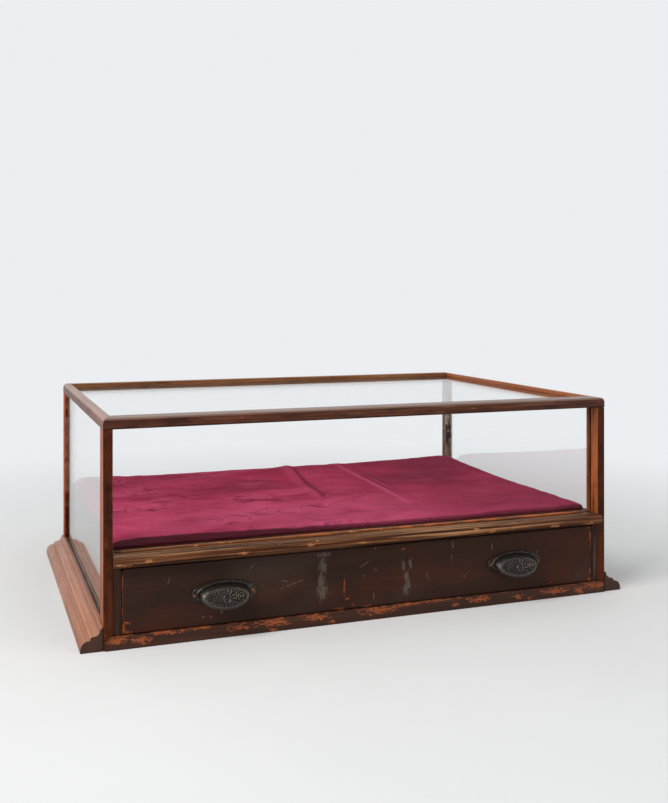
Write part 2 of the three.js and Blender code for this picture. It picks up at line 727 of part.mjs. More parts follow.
function pullScrew() {
  const dome = arc([0, 0], [screwHeadRadius, screwHeadHeight], -1, 0, arcSteps / 2);
  dome[0][0] = 0;
  const tip = screwShankLength + flangeThickness;
  const profile = [...dome, [screwShankRadius, 0], [screwShankRadius, tip], [0, tip]];
  const turned = new THREE.LatheGeometry(profile.map(([r, y]) => new THREE.Vector2(r, y)), screwSides);
  const slot = block(
    [-screwHeadRadius - overrun, -screwHeadHeight - overrun, -screwSlotWidth / 2],
    [screwHeadRadius + overrun, screwSlotDepth - screwHeadHeight, screwSlotWidth / 2]);
  return cut(turned, slot);
}

// Cup pull: x along the drawer, z up from the oval's middle, y = 0 on its back. The hood is a quarter-round
// shell, lofted from end to end, that stands out furthest at its lower lip.
const stepRiseHalf = pullRise - flangeStepInset;
const hoodRise = stepRiseHalf - hoodInset;
const hoodHalf = hoodLength / 2;

function hoodProjection(sine) {
  return pullProjection * sine ** hoodFullness;
}

// A point on the hood's outer face, angle round the oval and turn from its rim (0) to its lip (1)
function hoodPoint(angle, turn, wall) {
  const sine = Math.sin(angle);
  const reach = hoodProjection(sine);
  const lip = -pullRise * sine;
  const rise = hoodRise * sine - lip;
  const skin = Math.min(wall, reach * hoodWallShare, rise * hoodWallShare);
  const quarter = turn * (Math.PI / 2);
  return [
    hoodHalf * Math.cos(angle), -(reach - skin) * Math.sin(quarter), lip + (rise - skin) * Math.cos(quarter)];
}

function hood() {
  const rings = [];
  for (let i = 0; i <= hoodRings; i += 1) {
    const angle = Math.PI * (1 - (0.5 + i) / (hoodRings + 1));
    const ring = [];
    for (let k = 0; k <= hoodRingSteps; k += 1) ring.push(hoodPoint(angle, k / hoodRingSteps, 0));
    for (let k = hoodRingSteps; k >= 0; k -= 1) ring.push(hoodPoint(angle, k / hoodRingSteps, pullWall));
    rings.push(ring);
  }
  return loft(rings);
}

// Raised oval round the medallion, a bead that follows the hood's face
function medallionRing() {
  const points = [];
  for (let i = 0; i < medallionTurns; i += 1) {
    const along = (i / medallionTurns) * Math.PI * 2;
    const x = (medallionLength / 2) * Math.cos(along);
    const z = medallionRise * Math.sin(along) - medallionDrop;
    const angle = Math.acos(x / hoodHalf);
    const lip = -pullRise * Math.sin(angle);
    const rise = hoodRise * Math.sin(angle) - lip;
    const quarter = Math.acos(THREE.MathUtils.clamp((z - lip) / rise, 0, 1));
    points.push(new THREE.Vector3(...hoodPoint(angle, quarter / (Math.PI / 2), 0)));
  }
  const round = arc([0, 0], [medallionBead, medallionBead], 0, 4, medallionBeadSides).slice(0, -1);
  const section = new THREE.Shape(round.map(([a, b]) => new THREE.Vector2(a, b)));
  const path = new THREE.CatmullRomCurve3(points, true);
  return new THREE.ExtrudeGeometry(section, { steps: 2 * medallionTurns, extrudePath: path, bevelEnabled: false });
}

function ovalPlate(length, rise, thickness) {
  const quarterSteps = 2 * arcSteps;
  return prism('y', arc([0, 0], [length / 2, rise], 0, 4, 4 * quarterSteps).slice(0, -1), -thickness, 0);
}

function cupPull() {
  const rim = join(
    ovalPlate(pullLength, pullRise, flangeThickness),
    ovalPlate(flangeStepLength, stepRiseHalf, flangeThickness + flangeStep));
  const inside = ovalPlate(hoodLength - 2 * pullWall, hoodRise - pullWall, overrun + flangeThickness + flangeStep);
  inside.translate(0, overrun / 2, 0);
  const fingerHalf = hoodHalf - pullWall;
  const below = block(
    [-fingerHalf, -flangeThickness - flangeStep - overrun, -pullRise - overrun], [fingerHalf, overrun, 0]);
  const holes = [-1, 1].map((end) => {
    const hole = screwHole(overrun);
    hole.translate((end * screwSpacing) / 2, 0, -screwDrop);
    return hole;
  });
  const frame = cut(rim, inside, below, ...holes);
  return join(frame, hood(), medallionRing());
}

// Assembly
const back = caseDepth - rearPostDepth;
const onTop = caseHeight - topRailHeight;
addPair(fixedCase, (side) => `front_${side}_post`, 'mahogany', frontPost(), postInner);
addPair(fixedCase, (side) => `rear_${side}_post`, 'mahogany', rearPost(), postInner, back);
add(fixedCase, 'front_top_rail', 'mahogany', frontTopRail(), 0, 0, onTop);
add(fixedCase, 'rear_top_rail', 'mahogany', rearTopRail(), 0, back, onTop);
addPair(fixedCase, (side) => `${side}_top_rail`, 'mahogany', sideTopRail(), postInner, 0, onTop);
addGlass();
addPair(fixedCase, (side) => `front_${side}_corner_bead`, 'mahogany', cornerBead(), postInner, 0, sillGrooveFloor + fit);
add(fixedCase, 'front_sill_bead', 'wornBead', sillBead(), 0, 0, sillTop + fit);
add(fixedCase, 'front_sill', 'mahogany', frontSill(), 0, 0, sillTop);
add(fixedCase, 'bottom_front_rail', 'mahogany', bottomFrontRail());
addPair(fixedCase, (side) => `${side}_bottom_rail`, 'mahogany', sideBottomRail(), postInner, frontPostDepth);
addPair(fixedCase, (side) => `${side}_base_moulding`, 'moulding', baseMoulding(), caseWidth / 2 + fit);
addBay();
addBack();
const bedStart = frontPostDepth + bedFrontGap;
add(fixedCase, 'bed_board', 'bareWood', bedBoard(), 0, bedStart, sillTop + fit);
add(fixedCase, 'satin_bed', 'satin', satinBed(), 0, bedStart, sillTop + fit + bedBoardThickness + fit);

add(drawer, 'drawer_front', 'darkPanel', drawerFront());
addPair(drawer, (side) => `drawer_${side}_side`, 'bareWood', drawerSide(), drawerInnerHalf);
add(drawer, 'drawer_back', 'bareWood', drawerBack());
add(drawer, 'drawer_bottom', 'bareWood', drawerBottom());
for (const [side, sign] of [['left', -1], ['right', 1]]) {
  const x = (sign * pullSpacing) / 2;
  add(drawer, `${side}_cup_pull`, 'castMetal', cupPull(), x, -fit, pullHeight);
  for (const [end, direction] of [['left', -1], ['right', 1]]) {
    add(drawer, `${side}_pull_${end}_screw`, 'screwMetal', pullScrew(),
      x + (direction * screwSpacing) / 2, -flangeThickness - fit - fit, pullHeight - screwDrop);
  }
}

export default cabinet;
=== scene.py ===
"""Looks of the haberdashery cabinet, a glazed counter-top case with a satin bed and one drawer. Runs in Blender."""

import json
import math
from contextlib import contextmanager
from functools import reduce

import bmesh
import bpy
import numpy as np
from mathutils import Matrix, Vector

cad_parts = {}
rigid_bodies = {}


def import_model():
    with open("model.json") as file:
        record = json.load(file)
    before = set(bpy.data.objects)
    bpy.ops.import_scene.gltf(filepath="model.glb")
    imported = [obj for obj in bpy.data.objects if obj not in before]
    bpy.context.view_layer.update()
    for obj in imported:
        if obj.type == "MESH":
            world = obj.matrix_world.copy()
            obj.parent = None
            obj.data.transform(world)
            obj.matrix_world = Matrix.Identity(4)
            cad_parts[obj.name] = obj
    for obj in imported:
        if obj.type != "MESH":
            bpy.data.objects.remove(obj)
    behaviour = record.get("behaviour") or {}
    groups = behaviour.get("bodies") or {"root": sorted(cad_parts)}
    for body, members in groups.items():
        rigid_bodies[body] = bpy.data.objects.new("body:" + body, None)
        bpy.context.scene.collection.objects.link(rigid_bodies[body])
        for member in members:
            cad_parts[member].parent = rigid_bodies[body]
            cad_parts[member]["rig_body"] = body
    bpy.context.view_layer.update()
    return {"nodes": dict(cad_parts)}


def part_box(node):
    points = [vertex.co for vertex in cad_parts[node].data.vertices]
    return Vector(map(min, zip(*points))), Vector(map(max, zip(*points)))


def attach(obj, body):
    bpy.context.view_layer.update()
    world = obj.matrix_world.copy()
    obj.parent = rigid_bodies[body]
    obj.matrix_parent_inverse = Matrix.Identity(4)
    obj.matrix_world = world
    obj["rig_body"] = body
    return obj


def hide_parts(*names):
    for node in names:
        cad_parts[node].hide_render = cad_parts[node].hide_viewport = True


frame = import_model()
cad = frame["nodes"]
MM = 0.001

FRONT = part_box("front_left_post")[0][1]  # plane of the posts' front faces
LEFT_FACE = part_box("front_left_post")[0][0]  # plane of the posts' left faces
SILL_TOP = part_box("front_sill")[1][2]
SIDES = ("left", "right")


def linear(colour):
    """A colour of three parts from 0 to 255 as a linear colour; sockets and linear colours stay as they are."""
    if not isinstance(colour, tuple) or len(colour) != 3:
        return colour
    parts = [c / 255 for c in colour]
    return (*[p / 12.92 if p <= 0.04045 else ((p + 0.055) / 1.055) ** 2.4 for p in parts], 1.0)


def put(target, **values):
    """Sets several values of one thing."""
    for key, value in values.items():
        setattr(target, key, value)


# ---- Materials


class Nodes:
    """A node tree, with short calls that add its nodes."""

    def __init__(self, tree):
        self.tree = tree

    def feed(self, socket, value):
        if isinstance(value, bpy.types.NodeSocket):
            self.tree.links.new(value, socket)
        else:
            socket.default_value = value

    def add(self, kind, inputs=None, **settings):
        node = self.tree.nodes.new(kind)
        put(node, **settings)
        for key, value in (inputs or {}).items():
            self.feed(node.inputs[key], value)
        return node

    def math(self, operation, first, second=0.0, clamp=False):
        node = self.add("ShaderNodeMath", {0: first, 1: second}, operation=operation, use_clamp=clamp)
        return node.outputs[0]

    def chain(self, operation, values):
        return reduce(lambda first, second: self.math(operation, first, second), values)

    def times(self, *values):
        return self.chain("MULTIPLY", values)

    def plus(self, *values):
        return self.chain("ADD", values)

    def either(self, *values):
        return self.chain("MAXIMUM", values)

    def less(self, first, second):
        return self.math("SUBTRACT", first, second)

    def absolute(self, value):
        return self.math("ABSOLUTE", value)

    def length(self, vector):
        return self.add("ShaderNodeVectorMath", {0: vector}, operation="LENGTH").outputs["Value"]

    def rays(self, *kinds):
        """1 on rays of these kinds."""
        path = self.add("ShaderNodeLightPath")
        return self.either(*[path.outputs[f"Is {kind} Ray"] for kind in kinds])

    def choose(self, share, first, second):
        """The first shader where the share is 0 and the second where it is 1."""
        return self.add("ShaderNodeMixShader", {0: share, 1: first.outputs[0], 2: second.outputs[0]}).outputs[0]


class Surface(Nodes):
    """The nodes of one material."""

    def __init__(self, name, **values):
        self.material = bpy.data.materials.new(name)
        self.material.use_nodes = True
        super().__init__(self.material.node_tree)
        self.shader = self.tree.nodes["Principled BSDF"]
        self.surface = self.tree.nodes["Material Output"].inputs["Surface"]
        for key, value in values.items():
            self.feed(self.shader.inputs[key.replace("_", " ")], value)
        self.place = self.add("ShaderNodeTexCoord").outputs["Object"]
        self.normal = self.add("ShaderNodeNewGeometry").outputs["Normal"]

    def part(self, axis, vector=None):
        """One component of a vector, of the place by default."""
        node = self.add("ShaderNodeSeparateXYZ", {0: vector or self.place})
        return node.outputs["XYZ".index(axis)]

    def scaled(self, scale, at=(0, 0, 0)):
        """The place times a scale, which is one number or one for each axis."""
        scale = scale if isinstance(scale, tuple) else (scale,) * 3
        node = self.add("ShaderNodeMapping", {"Vector": self.place, "Scale": scale, "Location": at})
        return node.outputs[0]

    def noise(self, scale, detail=4.0, roughness=0.5, distortion=0.0, at=(0, 0, 0)):
        """Noise from 0 to 1; scale is its features in a metre, and at is the place that it is read from."""
        node = self.add("ShaderNodeTexNoise", {
            "Vector": self.scaled(scale, at), "Scale": 1.0, "Detail": detail,
            "Roughness": roughness, "Distortion": distortion})
        return node.outputs["Fac"]

    def spread(self, value, low, high, to_low=0.0, to_high=1.0):
        """The value taken smoothly from one range to another."""
        node = self.add("ShaderNodeMapRange", {
            "Value": value, "From Min": low, "From Max": high, "To Min": to_low, "To Max": to_high},
            interpolation_type="SMOOTHSTEP")
        return node.outputs[0]

    def blotches(self, low, high, *noise, **place):
        """Noise cut to blotches: 0 where it is under low and 1 where it is over high."""
        return self.spread(self.noise(*noise, **place), low, high)

    def over(self, axis, low, high, to_low=0.0, to_high=1.0):
        """1 past a place on an axis."""
        return self.spread(self.part(axis), low, high, to_low, to_high)

    def under(self, axis, low, high):
        """1 before a place on an axis."""
        return self.over(axis, low, high, 1, 0)

    def towards(self, axis, low, high):
        """1 where the surface faces along an axis."""
        return self.spread(self.part(axis, self.normal), low, high)

    def hollows(self, reach):
        """The openness of the surface within a reach, near 0 in deep hollows."""
        return self.add("ShaderNodeAmbientOcclusion", {"Distance": reach}, samples=6).outputs["AO"]

    def carried(self, name):
        """A value that the mesh carries on its points."""
        return self.add("ShaderNodeAttribute", attribute_name=name).outputs["Fac"]

    def ramp(self, value, *stops):
        node = self.add("ShaderNodeValToRGB", {"Fac": value})
        elements = node.color_ramp.elements
        while len(elements) < len(stops):
            elements.new(0.5)
        for element, (position, colour) in zip(elements, stops):
            element.position, element.color = position, linear(colour)
        return node.outputs["Color"]

    def mix(self, factor, first, second, blend="MIX"):
        node = self.add(
            "ShaderNodeMix", {0: factor, 6: linear(first), 7: linear(second)}, data_type="RGBA", blend_type=blend)
        return node.outputs[2]

    def blend(self, factor, colour, amount=None, blend="MIX"):
        """Mixes a colour into the material's own."""
        factor = factor if amount is None else self.times(factor, amount)
        self.colour = self.mix(factor, self.colour, colour, blend)

    def near_side(self, close, clear):
        """1 within a distance of the posts' outer faces, and 0 further in."""
        return self.spread(self.absolute(self.part("X")), -LEFT_FACE - clear, -LEFT_FACE - close)

    def facing(self, axis):
        """How much the surface faces along an axis, from 0 to 1."""
        return self.absolute(self.part(axis, self.normal))

    def edges(self, radius, low=0.02, high=0.3):
        """Near 1 on edges, from the difference between the rounded and the plain normal."""
        rounded = self.add("ShaderNodeBevel", {"Radius": radius}, samples=4).outputs[0]
        dot = self.add("ShaderNodeVectorMath", {0: rounded, 1: self.normal}, operation="DOT_PRODUCT")
        return self.spread(self.less(1, dot.outputs["Value"]), low, high)

    def spot(self, x, z, half_x, half_z, tilt=0.0):
        """1 in the middle of an ellipse on the front, falling to 0 at its edge; millimetres and degrees."""
        node = self.add("ShaderNodeMapping", {
            "Vector": self.place, "Location": (x * MM, 0, z * MM),
            "Rotation": (0, -math.radians(tilt), 0), "Scale": (half_x * MM, 1, half_z * MM)},
            vector_type="TEXTURE")
        flat = self.add("ShaderNodeVectorMath", {0: node.outputs[0], 1: (1, 0, 1)}, operation="MULTIPLY")
        return self.math("SUBTRACT", 1, self.length(flat.outputs[0]), clamp=True)

    def patches(self, places, scale, ragged=3.0, at=(0, 0, 0), soft=0.12):
        """Ragged patches around places on the front, each (x, z, half width, half height, tilt)."""
        whole = self.either(*[self.spot(*place) for place in places])
        rough = self.noise(scale, 5, 0.62, at=at)
        value = self.plus(whole, self.times(self.less(rough, 0.5), ragged))
        return self.times(self.spread(whole, 0, 0.1), self.spread(value, 0.45 - soft, 0.45 + soft))

    def finish(self, roughness, height, depth):
        """Connects the colour, the roughness and a bump of the given depth."""
        self.feed(self.shader.inputs["Base Color"], self.colour)
        self.feed(self.shader.inputs["Roughness"], roughness)
        bump = self.add("ShaderNodeBump", {"Height": height, "Strength": 1.0, "Distance": depth})
        self.feed(self.shader.inputs["Normal"], bump.outputs[0])
        return self.material


def along(axis, lengthwise, across):
    """Noise scales that run along a grain axis."""
    return tuple(lengthwise if a == axis else across for a in "XYZ")


class Wood(Surface):
    """Wood with its grain along one axis: tone, streaks, pores and worn edges."""

    def __init__(self, name, axis, dark, mid, light, gloss=0.42, specular=0.25, tone=0.55):
        super().__init__(name, Specular_IOR_Level=specular)
        self.axis, self.gloss = axis, gloss
        slow = self.noise(along(axis, 2.2, 16), 3)
        self.streak = self.noise(along(axis, 7, 260), 5, 0.6, 0.3)
        fine = self.noise(along(axis, 45, 1500), 3, 0.6)
        grain = self.plus(self.times(slow, tone), self.times(self.streak, 1 - tone))
        self.colour = self.ramp(grain, (0.32, dark), (0.5, mid), (0.68, light))
        self.darken(self.spread(fine, 0.28, 0.42, 0.4, 0))
        self.height = self.plus(self.times(fine, 0.4), self.times(self.streak, 0.6))
        self.wear = None

    def grain(self, mask, dark, light, amount=None):
        """Mixes in the streaks of the grain in two colours."""
        self.blend(mask, self.mix(self.streak, dark, light), amount)

    def darken(self, factor, amount=None, colour=(0.25, 0.2, 0.2, 1)):
        self.blend(factor, colour, amount, "MULTIPLY")

    def worn(self, mask, colour, amount=None):
        """Shows bare wood of a colour, with its own grain, where mask is 1, a little below the varnish."""
        mask = mask if amount is None else self.times(mask, amount)
        bare = linear(colour)
        self.grain(mask, (*[c * 0.55 for c in bare[:3]], 1), bare)
        self.height = self.less(self.height, self.times(mask, 0.6))
        self.wear = mask if self.wear is None else self.either(self.wear, mask)

    def rubbed(self, radius, colour, amount=0.7, low=0.42, high=0.6, scale=40):
        """Bare wood along the edges, broken up by noise."""
        self.worn(self.times(self.edges(radius), self.blotches(low, high, scale)), colour, amount)

    def between(self, axis, low, high, soft=0.6 * MM):
        """1 where a coordinate lies between two places, with soft ends."""
        return self.times(self.over(axis, low - soft, low + soft), self.under(axis, high - soft, high + soft))

    def done(self, depth=0.25 * MM):
        patches = self.noise(along(self.axis, 20, 130), 3)
        roughness = self.spread(patches, 0.25, 0.75, self.gloss - 0.05, self.gloss + 0.08)
        if self.wear is not None:
            roughness = self.plus(roughness, self.times(self.wear, 0.2))
        return self.finish(roughness, self.height, depth)


ORANGE = (186, 100, 52)
DEEP_ORANGE = (176, 84, 38)


def post_wood():
    """Dark brown fronts and backs, and more orange faces across: partly thinner varnish, partly painted light from
    the left.
    """
    wood = Wood("post_wood", "Z", (44, 19, 9), (76, 34, 16), (110, 54, 27), 0.38, 0.08)
    # Faces across are more orange: partly thinner varnish, partly painted light from the left
    tint = wood.mix(wood.spread(wood.streak, 0.35, 0.65), (118, 56, 28), (184, 104, 58))
    wood.blend(wood.spread(wood.facing("X"), 0.55, 0.85), tint, 0.92)
    # Rear posts: orange red outside, and greyed and scuffed inside
    rear = wood.over("Y", 0.2, 0.25)
    outward = wood.times(wood.part("X"), wood.part("X", wood.normal))
    edge = wood.under("X", LEFT_FACE + 2 * MM, LEFT_FACE + 2.6 * MM)
    outer = wood.either(edge, wood.spread(outward, 0.2, 0.3))
    wood.blend(wood.times(rear, outer), (176, 74, 36), 0.85)
    inner = wood.times(rear, wood.less(1, outer))
    grey = wood.blotches(0.42, 0.62, (50, 50, 22), 4, 0.65, at=(7, 2, 3))
    wood.blend(inner, wood.mix(grey, (40, 28, 22), (124, 98, 80)), 0.85)
    nicks = wood.blotches(0.56, 0.6, (110, 110, 40), 4, 0.7, at=(1, 6, 2))
    wood.blend(wood.times(inner, nicks, wood.over("X", 0, 1 * MM, 0.25, 0.75)), (182, 174, 166))
    wood.darken(wood.blotches(0.5, 0.66, (60, 60, 45), 4, 0.6, at=(2, 5, 1)), 0.6)
    stains = wood.blotches(0.54, 0.62, (95, 95, 26), 4, 0.65, 0.8, (8, 2, 6))
    wood.blend(wood.times(stains, wood.spread(wood.facing("Y"), 0.6, 0.9)), (42, 18, 9), 0.65)
    wood.worn(wood.blotches(0.66, 0.72, (70, 70, 18), at=(2, 5, 1)), (150, 84, 50), 0.4)
    low = wood.times(wood.under("Z", 90 * MM, 125 * MM), wood.over("X", 0, 1 * MM, 0.1, 0.7))
    wood.grain(low, (54, 24, 10), (98, 46, 20))
    wood.rubbed(1.4 * MM, ORANGE, 0.75)
    # Next to the ends of the skirts the arris is dark
    foot = wood.times(wood.near_side(1.4 * MM, 2.2 * MM), wood.over("Z", 30 * MM, 36 * MM, 0.9, 0))
    wood.blend(foot, (50, 25, 14))
    return wood.done()


def rail_wood():
    wood = Wood("rail_wood_x", "X", (46, 24, 15), (76, 40, 25), (108, 60, 38), 0.36, 0.15)
    wood.rubbed(1.6 * MM, (168, 98, 60), 0.7, scale=26)
    wood.worn(wood.blotches(0.68, 0.72, (60, 200, 200), 3, at=(4, 4, 4)), (196, 118, 70), 0.8)
    return wood.done()


def front_top_wood():
    """The top rail in front: red brown with dark stains, black along its foot and a painted pale sheen along its
    upper edge.
    """
    wood = Wood("front_top_wood", "X", (40, 20, 13), (78, 40, 25), (116, 68, 46), 0.36, 0.15, 0.35)
    wood.blend(wood.blotches(0.48, 0.64, (14, 60, 60), 4, 0.65, at=(6, 1, 2)), (42, 20, 14), 0.7)
    wood.blend(wood.blotches(0.56, 0.68, (10, 60, 160), 4, 0.6, at=(2, 9, 5)), (128, 88, 66), 0.45)
    low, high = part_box("front_top_rail")
    wood.blend(wood.over("Z", low[2] + 0.5 * MM, low[2] + 4 * MM, 0.7, 0), (30, 14, 10))
    # Painted sheen: the upper edge paler and pinker
    crest = wood.over("Z", high[2] - 4 * MM, high[2] - 1 * MM)
    wood.grain(crest, (112, 84, 72), (178, 150, 136), 0.6)
    wood.worn(wood.blotches(0.7, 0.73, (60, 200, 200), 3, at=(4, 4, 4)), (180, 108, 66), 0.6)
    wood.rubbed(1.6 * MM, (168, 112, 84), 0.5, scale=26)
    return wood.done()


def rear_top_wood():
    """The top rail behind: its face over the glass golden brown, and below the glass's level a painted grey
    reflection of the rail in the glass.
    """
    wood = Wood("rear_rail_wood", "X", (82, 50, 28), (126, 80, 46), (166, 116, 74), 0.4, 0.12, 0.35)
    low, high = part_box("rear_top_rail")
    # Painted reflection: grey where the rail shows below the top glass
    painted_reflection = wood.under("Z", high[2] - 8 * MM, high[2] - 5.5 * MM)
    wood.grain(painted_reflection, (108, 88, 78), (168, 148, 136), 0.92)
    wood.darken(wood.blotches(0.52, 0.66, (12, 60, 60), 4, 0.6, at=(3, 1, 7)), 0.5)
    wood.rubbed(1.2 * MM, (196, 138, 90), 0.5, scale=26)
    return wood.done()


def side_rail_wood():
    """Side rails of the top: their upper faces carry a painted pale pink sheen."""
    wood = Wood("rail_wood_y", "Y", (66, 36, 24), (98, 56, 38), (132, 80, 56), 0.44, 0.25)
    # Painted sheen: faces turned up paler and pinker
    wood.grain(wood.towards("Z", 0.35, 0.8), (138, 108, 98), (200, 170, 160), 0.85)
    wood.darken(wood.blotches(0.5, 0.68, (90, 420, 90), 3, 0.6, at=(2, 2, 8)), 0.4)
    # The right rail and all faces turned inwards keep their orange varnish
    outward = wood.times(wood.part("X"), wood.part("X", wood.normal))
    inward = wood.spread(outward, -0.3, -0.1, 1, 0)
    orange = wood.either(inward, wood.over("X", 0, 0.1, 0, 0.8))
    wood.grain(orange, (120, 62, 34), (196, 122, 76), 0.9)
    # The bottom rails show as a ledge at the foot of the panes, with painted shadow in the gap along the glass
    low = wood.under("Z", 40 * MM, 60 * MM)
    wood.grain(low, (122, 76, 54), (174, 120, 92))
    wood.blend(wood.times(low, wood.less(1, wood.near_side(2.6 * MM, 3.4 * MM))), (30, 22, 19), 0.92)
    wood.rubbed(1.6 * MM, (196, 122, 84), 0.4, scale=26)
    return wood.done()


def moulding_wood():
    """The skirts: orange brown where they face out, with a painted lilac sheen where they face up, a painted
    highlight along the middle of the profile and painted shade in the quirks.
    """
    wood = Wood("moulding_wood", "Y", (104, 58, 36), (142, 84, 54), (170, 108, 74), 0.36, 0.3, 0.4)
    # Painted sheen on the faces turned up
    wood.grain(wood.towards("Z", 0.3, 0.9), (134, 82, 58), (190, 134, 104), 0.7)
    # Painted highlight along the middle of the profile
    middle = wood.between("X", LEFT_FACE - 21 * MM, LEFT_FACE - 8 * MM, 2 * MM)
    wood.grain(middle, (166, 102, 72), (220, 158, 124), 0.5)
    wood.blend(wood.blotches(0.45, 0.65, (70, 3, 70), 3, at=(3, 1, 7)), (150, 84, 50), 0.4)
    wood.darken(wood.blotches(0.5, 0.68, (90, 420, 90), 3, 0.6, at=(2, 2, 8)), 0.28)
    wood.rubbed(1.2 * MM, (206, 140, 104), 0.6, 0.4, 0.62, 60)
    wood.worn(wood.blotches(0.66, 0.72, (90, 30, 90), 3, at=(8, 2, 2)), (206, 138, 100), 0.5)
    # Painted shade in the quirks and hollows
    wood.darken(wood.spread(wood.hollows(5 * MM), 0.45, 0.8, 0.7, 0))
    front = wood.under("Y", FRONT + 0.2 * MM, FRONT + 1.5 * MM)
    wood.grain(front, (32, 15, 8), (50, 25, 14), 0.92)
    return wood.done()


def panel_wood(name, axis):
    return Wood(name, axis, (38, 24, 18), (48, 30, 22), (60, 36, 25), 0.42, 0.1, 0.75)


def plain_panel(name):
    wood = panel_wood(name, "X")
    wood.rubbed(1.2 * MM, DEEP_ORANGE, 0.8, 0.5, 0.65, 50)
    return wood.done()


def bay_wood():
    """The boards beside the drawer: their front ends show two paler upright lines."""
    wood = panel_wood("bay_wood", "Y")
    lines = wood.blotches(0.54, 0.62, (420, 0, 9), 2, 0.5, at=(3, 0, 2))
    front = wood.under("Y", FRONT + 12 * MM, FRONT + 20 * MM)
    wood.blend(wood.times(lines, front), (96, 76, 62), 0.55)
    wood.rubbed(1.2 * MM, DEEP_ORANGE, 0.6, 0.5, 0.65, 50)
    return wood.done()


def bare_wood(axis):
    wood = Wood("bare_wood_" + axis.lower(), axis, (132, 96, 60), (172, 132, 88), (200, 162, 116), 0.66)
    wood.blend(wood.blotches(0.5, 0.75, 9, 3, at=(5, 2, 1)), (110, 78, 50), 0.35)
    wood.rubbed(1.2 * MM, (108, 76, 48), 0.5, 0.4, 0.65, 50)
    return wood.done(0.3 * MM)


# Worn places on the front, each (x, z, half width, half height) in millimetres, and sometimes a tilt
DRAWER_WEAR = [
    (-397.6, 92, 1.6, 26), (-397.6, 55, 1.4, 14), (-392, 37, 9, 3.5), (-391, 23.5, 10, 3.5), (-396, 30, 4, 12),
    (-279, 33, 2.6, 2.8), (-267, 32.6, 2.2, 2.4), (-54.5, 55, 2.2, 24), (-50, 37, 6, 2.5), (-2.4, 77, 3, 2.6),
    (-21.5, 70, 2.6, 2.2), (-4.8, 36.5, 2, 8), (-2.4, 110.6, 5, 2.4), (46, 106.4, 6, 2.6), (-40, 26, 4, 2.4),
    (-63, 22.8, 12, 2.4), (-15, 21.5, 16, 2.6), (155, 52, 2.4, 2.2), (292.5, 80, 2.4, 2.4), (319, 26.6, 3.4, 2.6),
    (389, 56.6, 2.5, 4), (394, 112.6, 7, 3.4), (396, 98, 3.4, 11), (398, 86, 2.2, 12), (396, 38.7, 3.4, 9),
    (394, 24, 7, 4)]
DRAWER_RESIDUE = [
    (-90, 109, 15, 5), (-90, 92, 9, 22), (-92, 72, 7, 20), (-91, 52, 11, 22), (53, 45, 8, 19, -12), (52, 62, 5, 16),
    (46, 80, 4, 16), (59, 84, 4, 12)]
DRAWER_SCRATCHES = [
    (-137, 69, 26, 1.4, 16), (-150, 74, 12, 1.2, -8), (134, 103, 2, 12, 8), (132, 84, 1.6, 8), (-250, 38, 4, 3.5),
    (206, 96, 1.6, 10), (-20, 88, 18, 1.2, 30), (88, 60, 1.4, 9, 12), (-330, 92, 1.4, 8, -14),
    (-205, 100, 10, 1, 40)]
RAIL_WEAR = [
    (-407, 15, 22, 10), (-372, 11, 26, 7), (-335, 18, 36, 4.5), (-285, 19, 28, 3), (-225, 14, 22, 8),
    (-172, 14, 40, 8), (-172, 3, 9, 3.5), (-100, 15, 28, 7), (-76, 5, 10, 3.5), (4, 14, 46, 9), (50, 18.5, 32, 4),
    (104, 19, 38, 3.5), (137, 9, 11, 4.5), (180, 13, 30, 7), (252, 10, 13, 5.5), (277, 5, 9, 3.5), (324, 12, 34, 7),
    (372, 8, 15, 9), (402, 13, 26, 9)]
SILL_WEAR = [
    (-398, 125, 16, 4), (-363, 127, 10, 4), (-222, 126.4, 11, 3.5), (-31, 126, 12, 3.5), (-116, 129.8, 8, 3),
    (198, 125.5, 13, 4), (171, 131, 9, 3), (240, 128, 10, 3), (317, 124, 13, 3.5), (388, 123.5, 18, 3)]


def drawer_wood():
    """The drawer front: near-black varnish with reddish patches, tape marks and orange worn edges."""
    wood = panel_wood("drawer_wood", "X")
    wood.blend(wood.blotches(0.46, 0.66, (7, 7, 12), 3, at=(1, 4, 2)), (68, 32, 20), 0.6)
    wood.blend(wood.over("X", 0, 0.4), (60, 31, 20), 0.35)
    # Painted sheen: soft grey patches of glare on the varnish
    painted_sheen = wood.blotches(0.5, 0.75, (5, 5, 9), at=(9, 1, 3))
    wood.blend(painted_sheen, (84, 70, 60), 0.25)
    residue = wood.patches(DRAWER_RESIDUE, (330, 330, 110), 3.4, soft=0.4)
    wood.blend(residue, (108, 99, 92), 0.5)
    scratches = wood.patches(DRAWER_SCRATCHES, 260, 2.6, (3, 0, 0), 0.3)
    wood.blend(scratches, (118, 92, 76), 0.5)
    dust = wood.blotches(0.755, 0.78, 420, 2, at=(7, 7, 7))
    wood.blend(dust, (150, 120, 100), 0.5)
    wood.worn(wood.patches(DRAWER_WEAR, 420), (148, 74, 38), 0.85)
    wood.rubbed(1 * MM, DEEP_ORANGE, 0.6, 0.5, 0.62, 45)
    return wood.done()


def front_rail_wood():
    """The bottom rail: brown, with chips down to orange wood, most of them along its upper edge."""
    wood = Wood("front_rail_wood", "X", (42, 25, 19), (62, 37, 27), (88, 53, 38), 0.42, 0.15)
    chips = wood.patches(RAIL_WEAR, (130, 130, 420), 4.2)
    above = wood.over("Z", 15 * MM, 21 * MM)
    loose = wood.blotches(0.56, 0.61, (75, 75, 300), 4, 0.6, at=(6, 0, 3))
    chips = wood.either(chips, wood.times(loose, above))
    tone = wood.noise((60, 60, 160), 4, 0.6, at=(1, 5, 5))
    wood.worn(wood.times(chips, wood.spread(tone, 0.3, 0.6, 0.4, 0.95)), (168, 88, 48))
    wood.rubbed(1.2 * MM, (150, 80, 46), 0.8, 0.42, 0.58, 50)
    return wood.done()


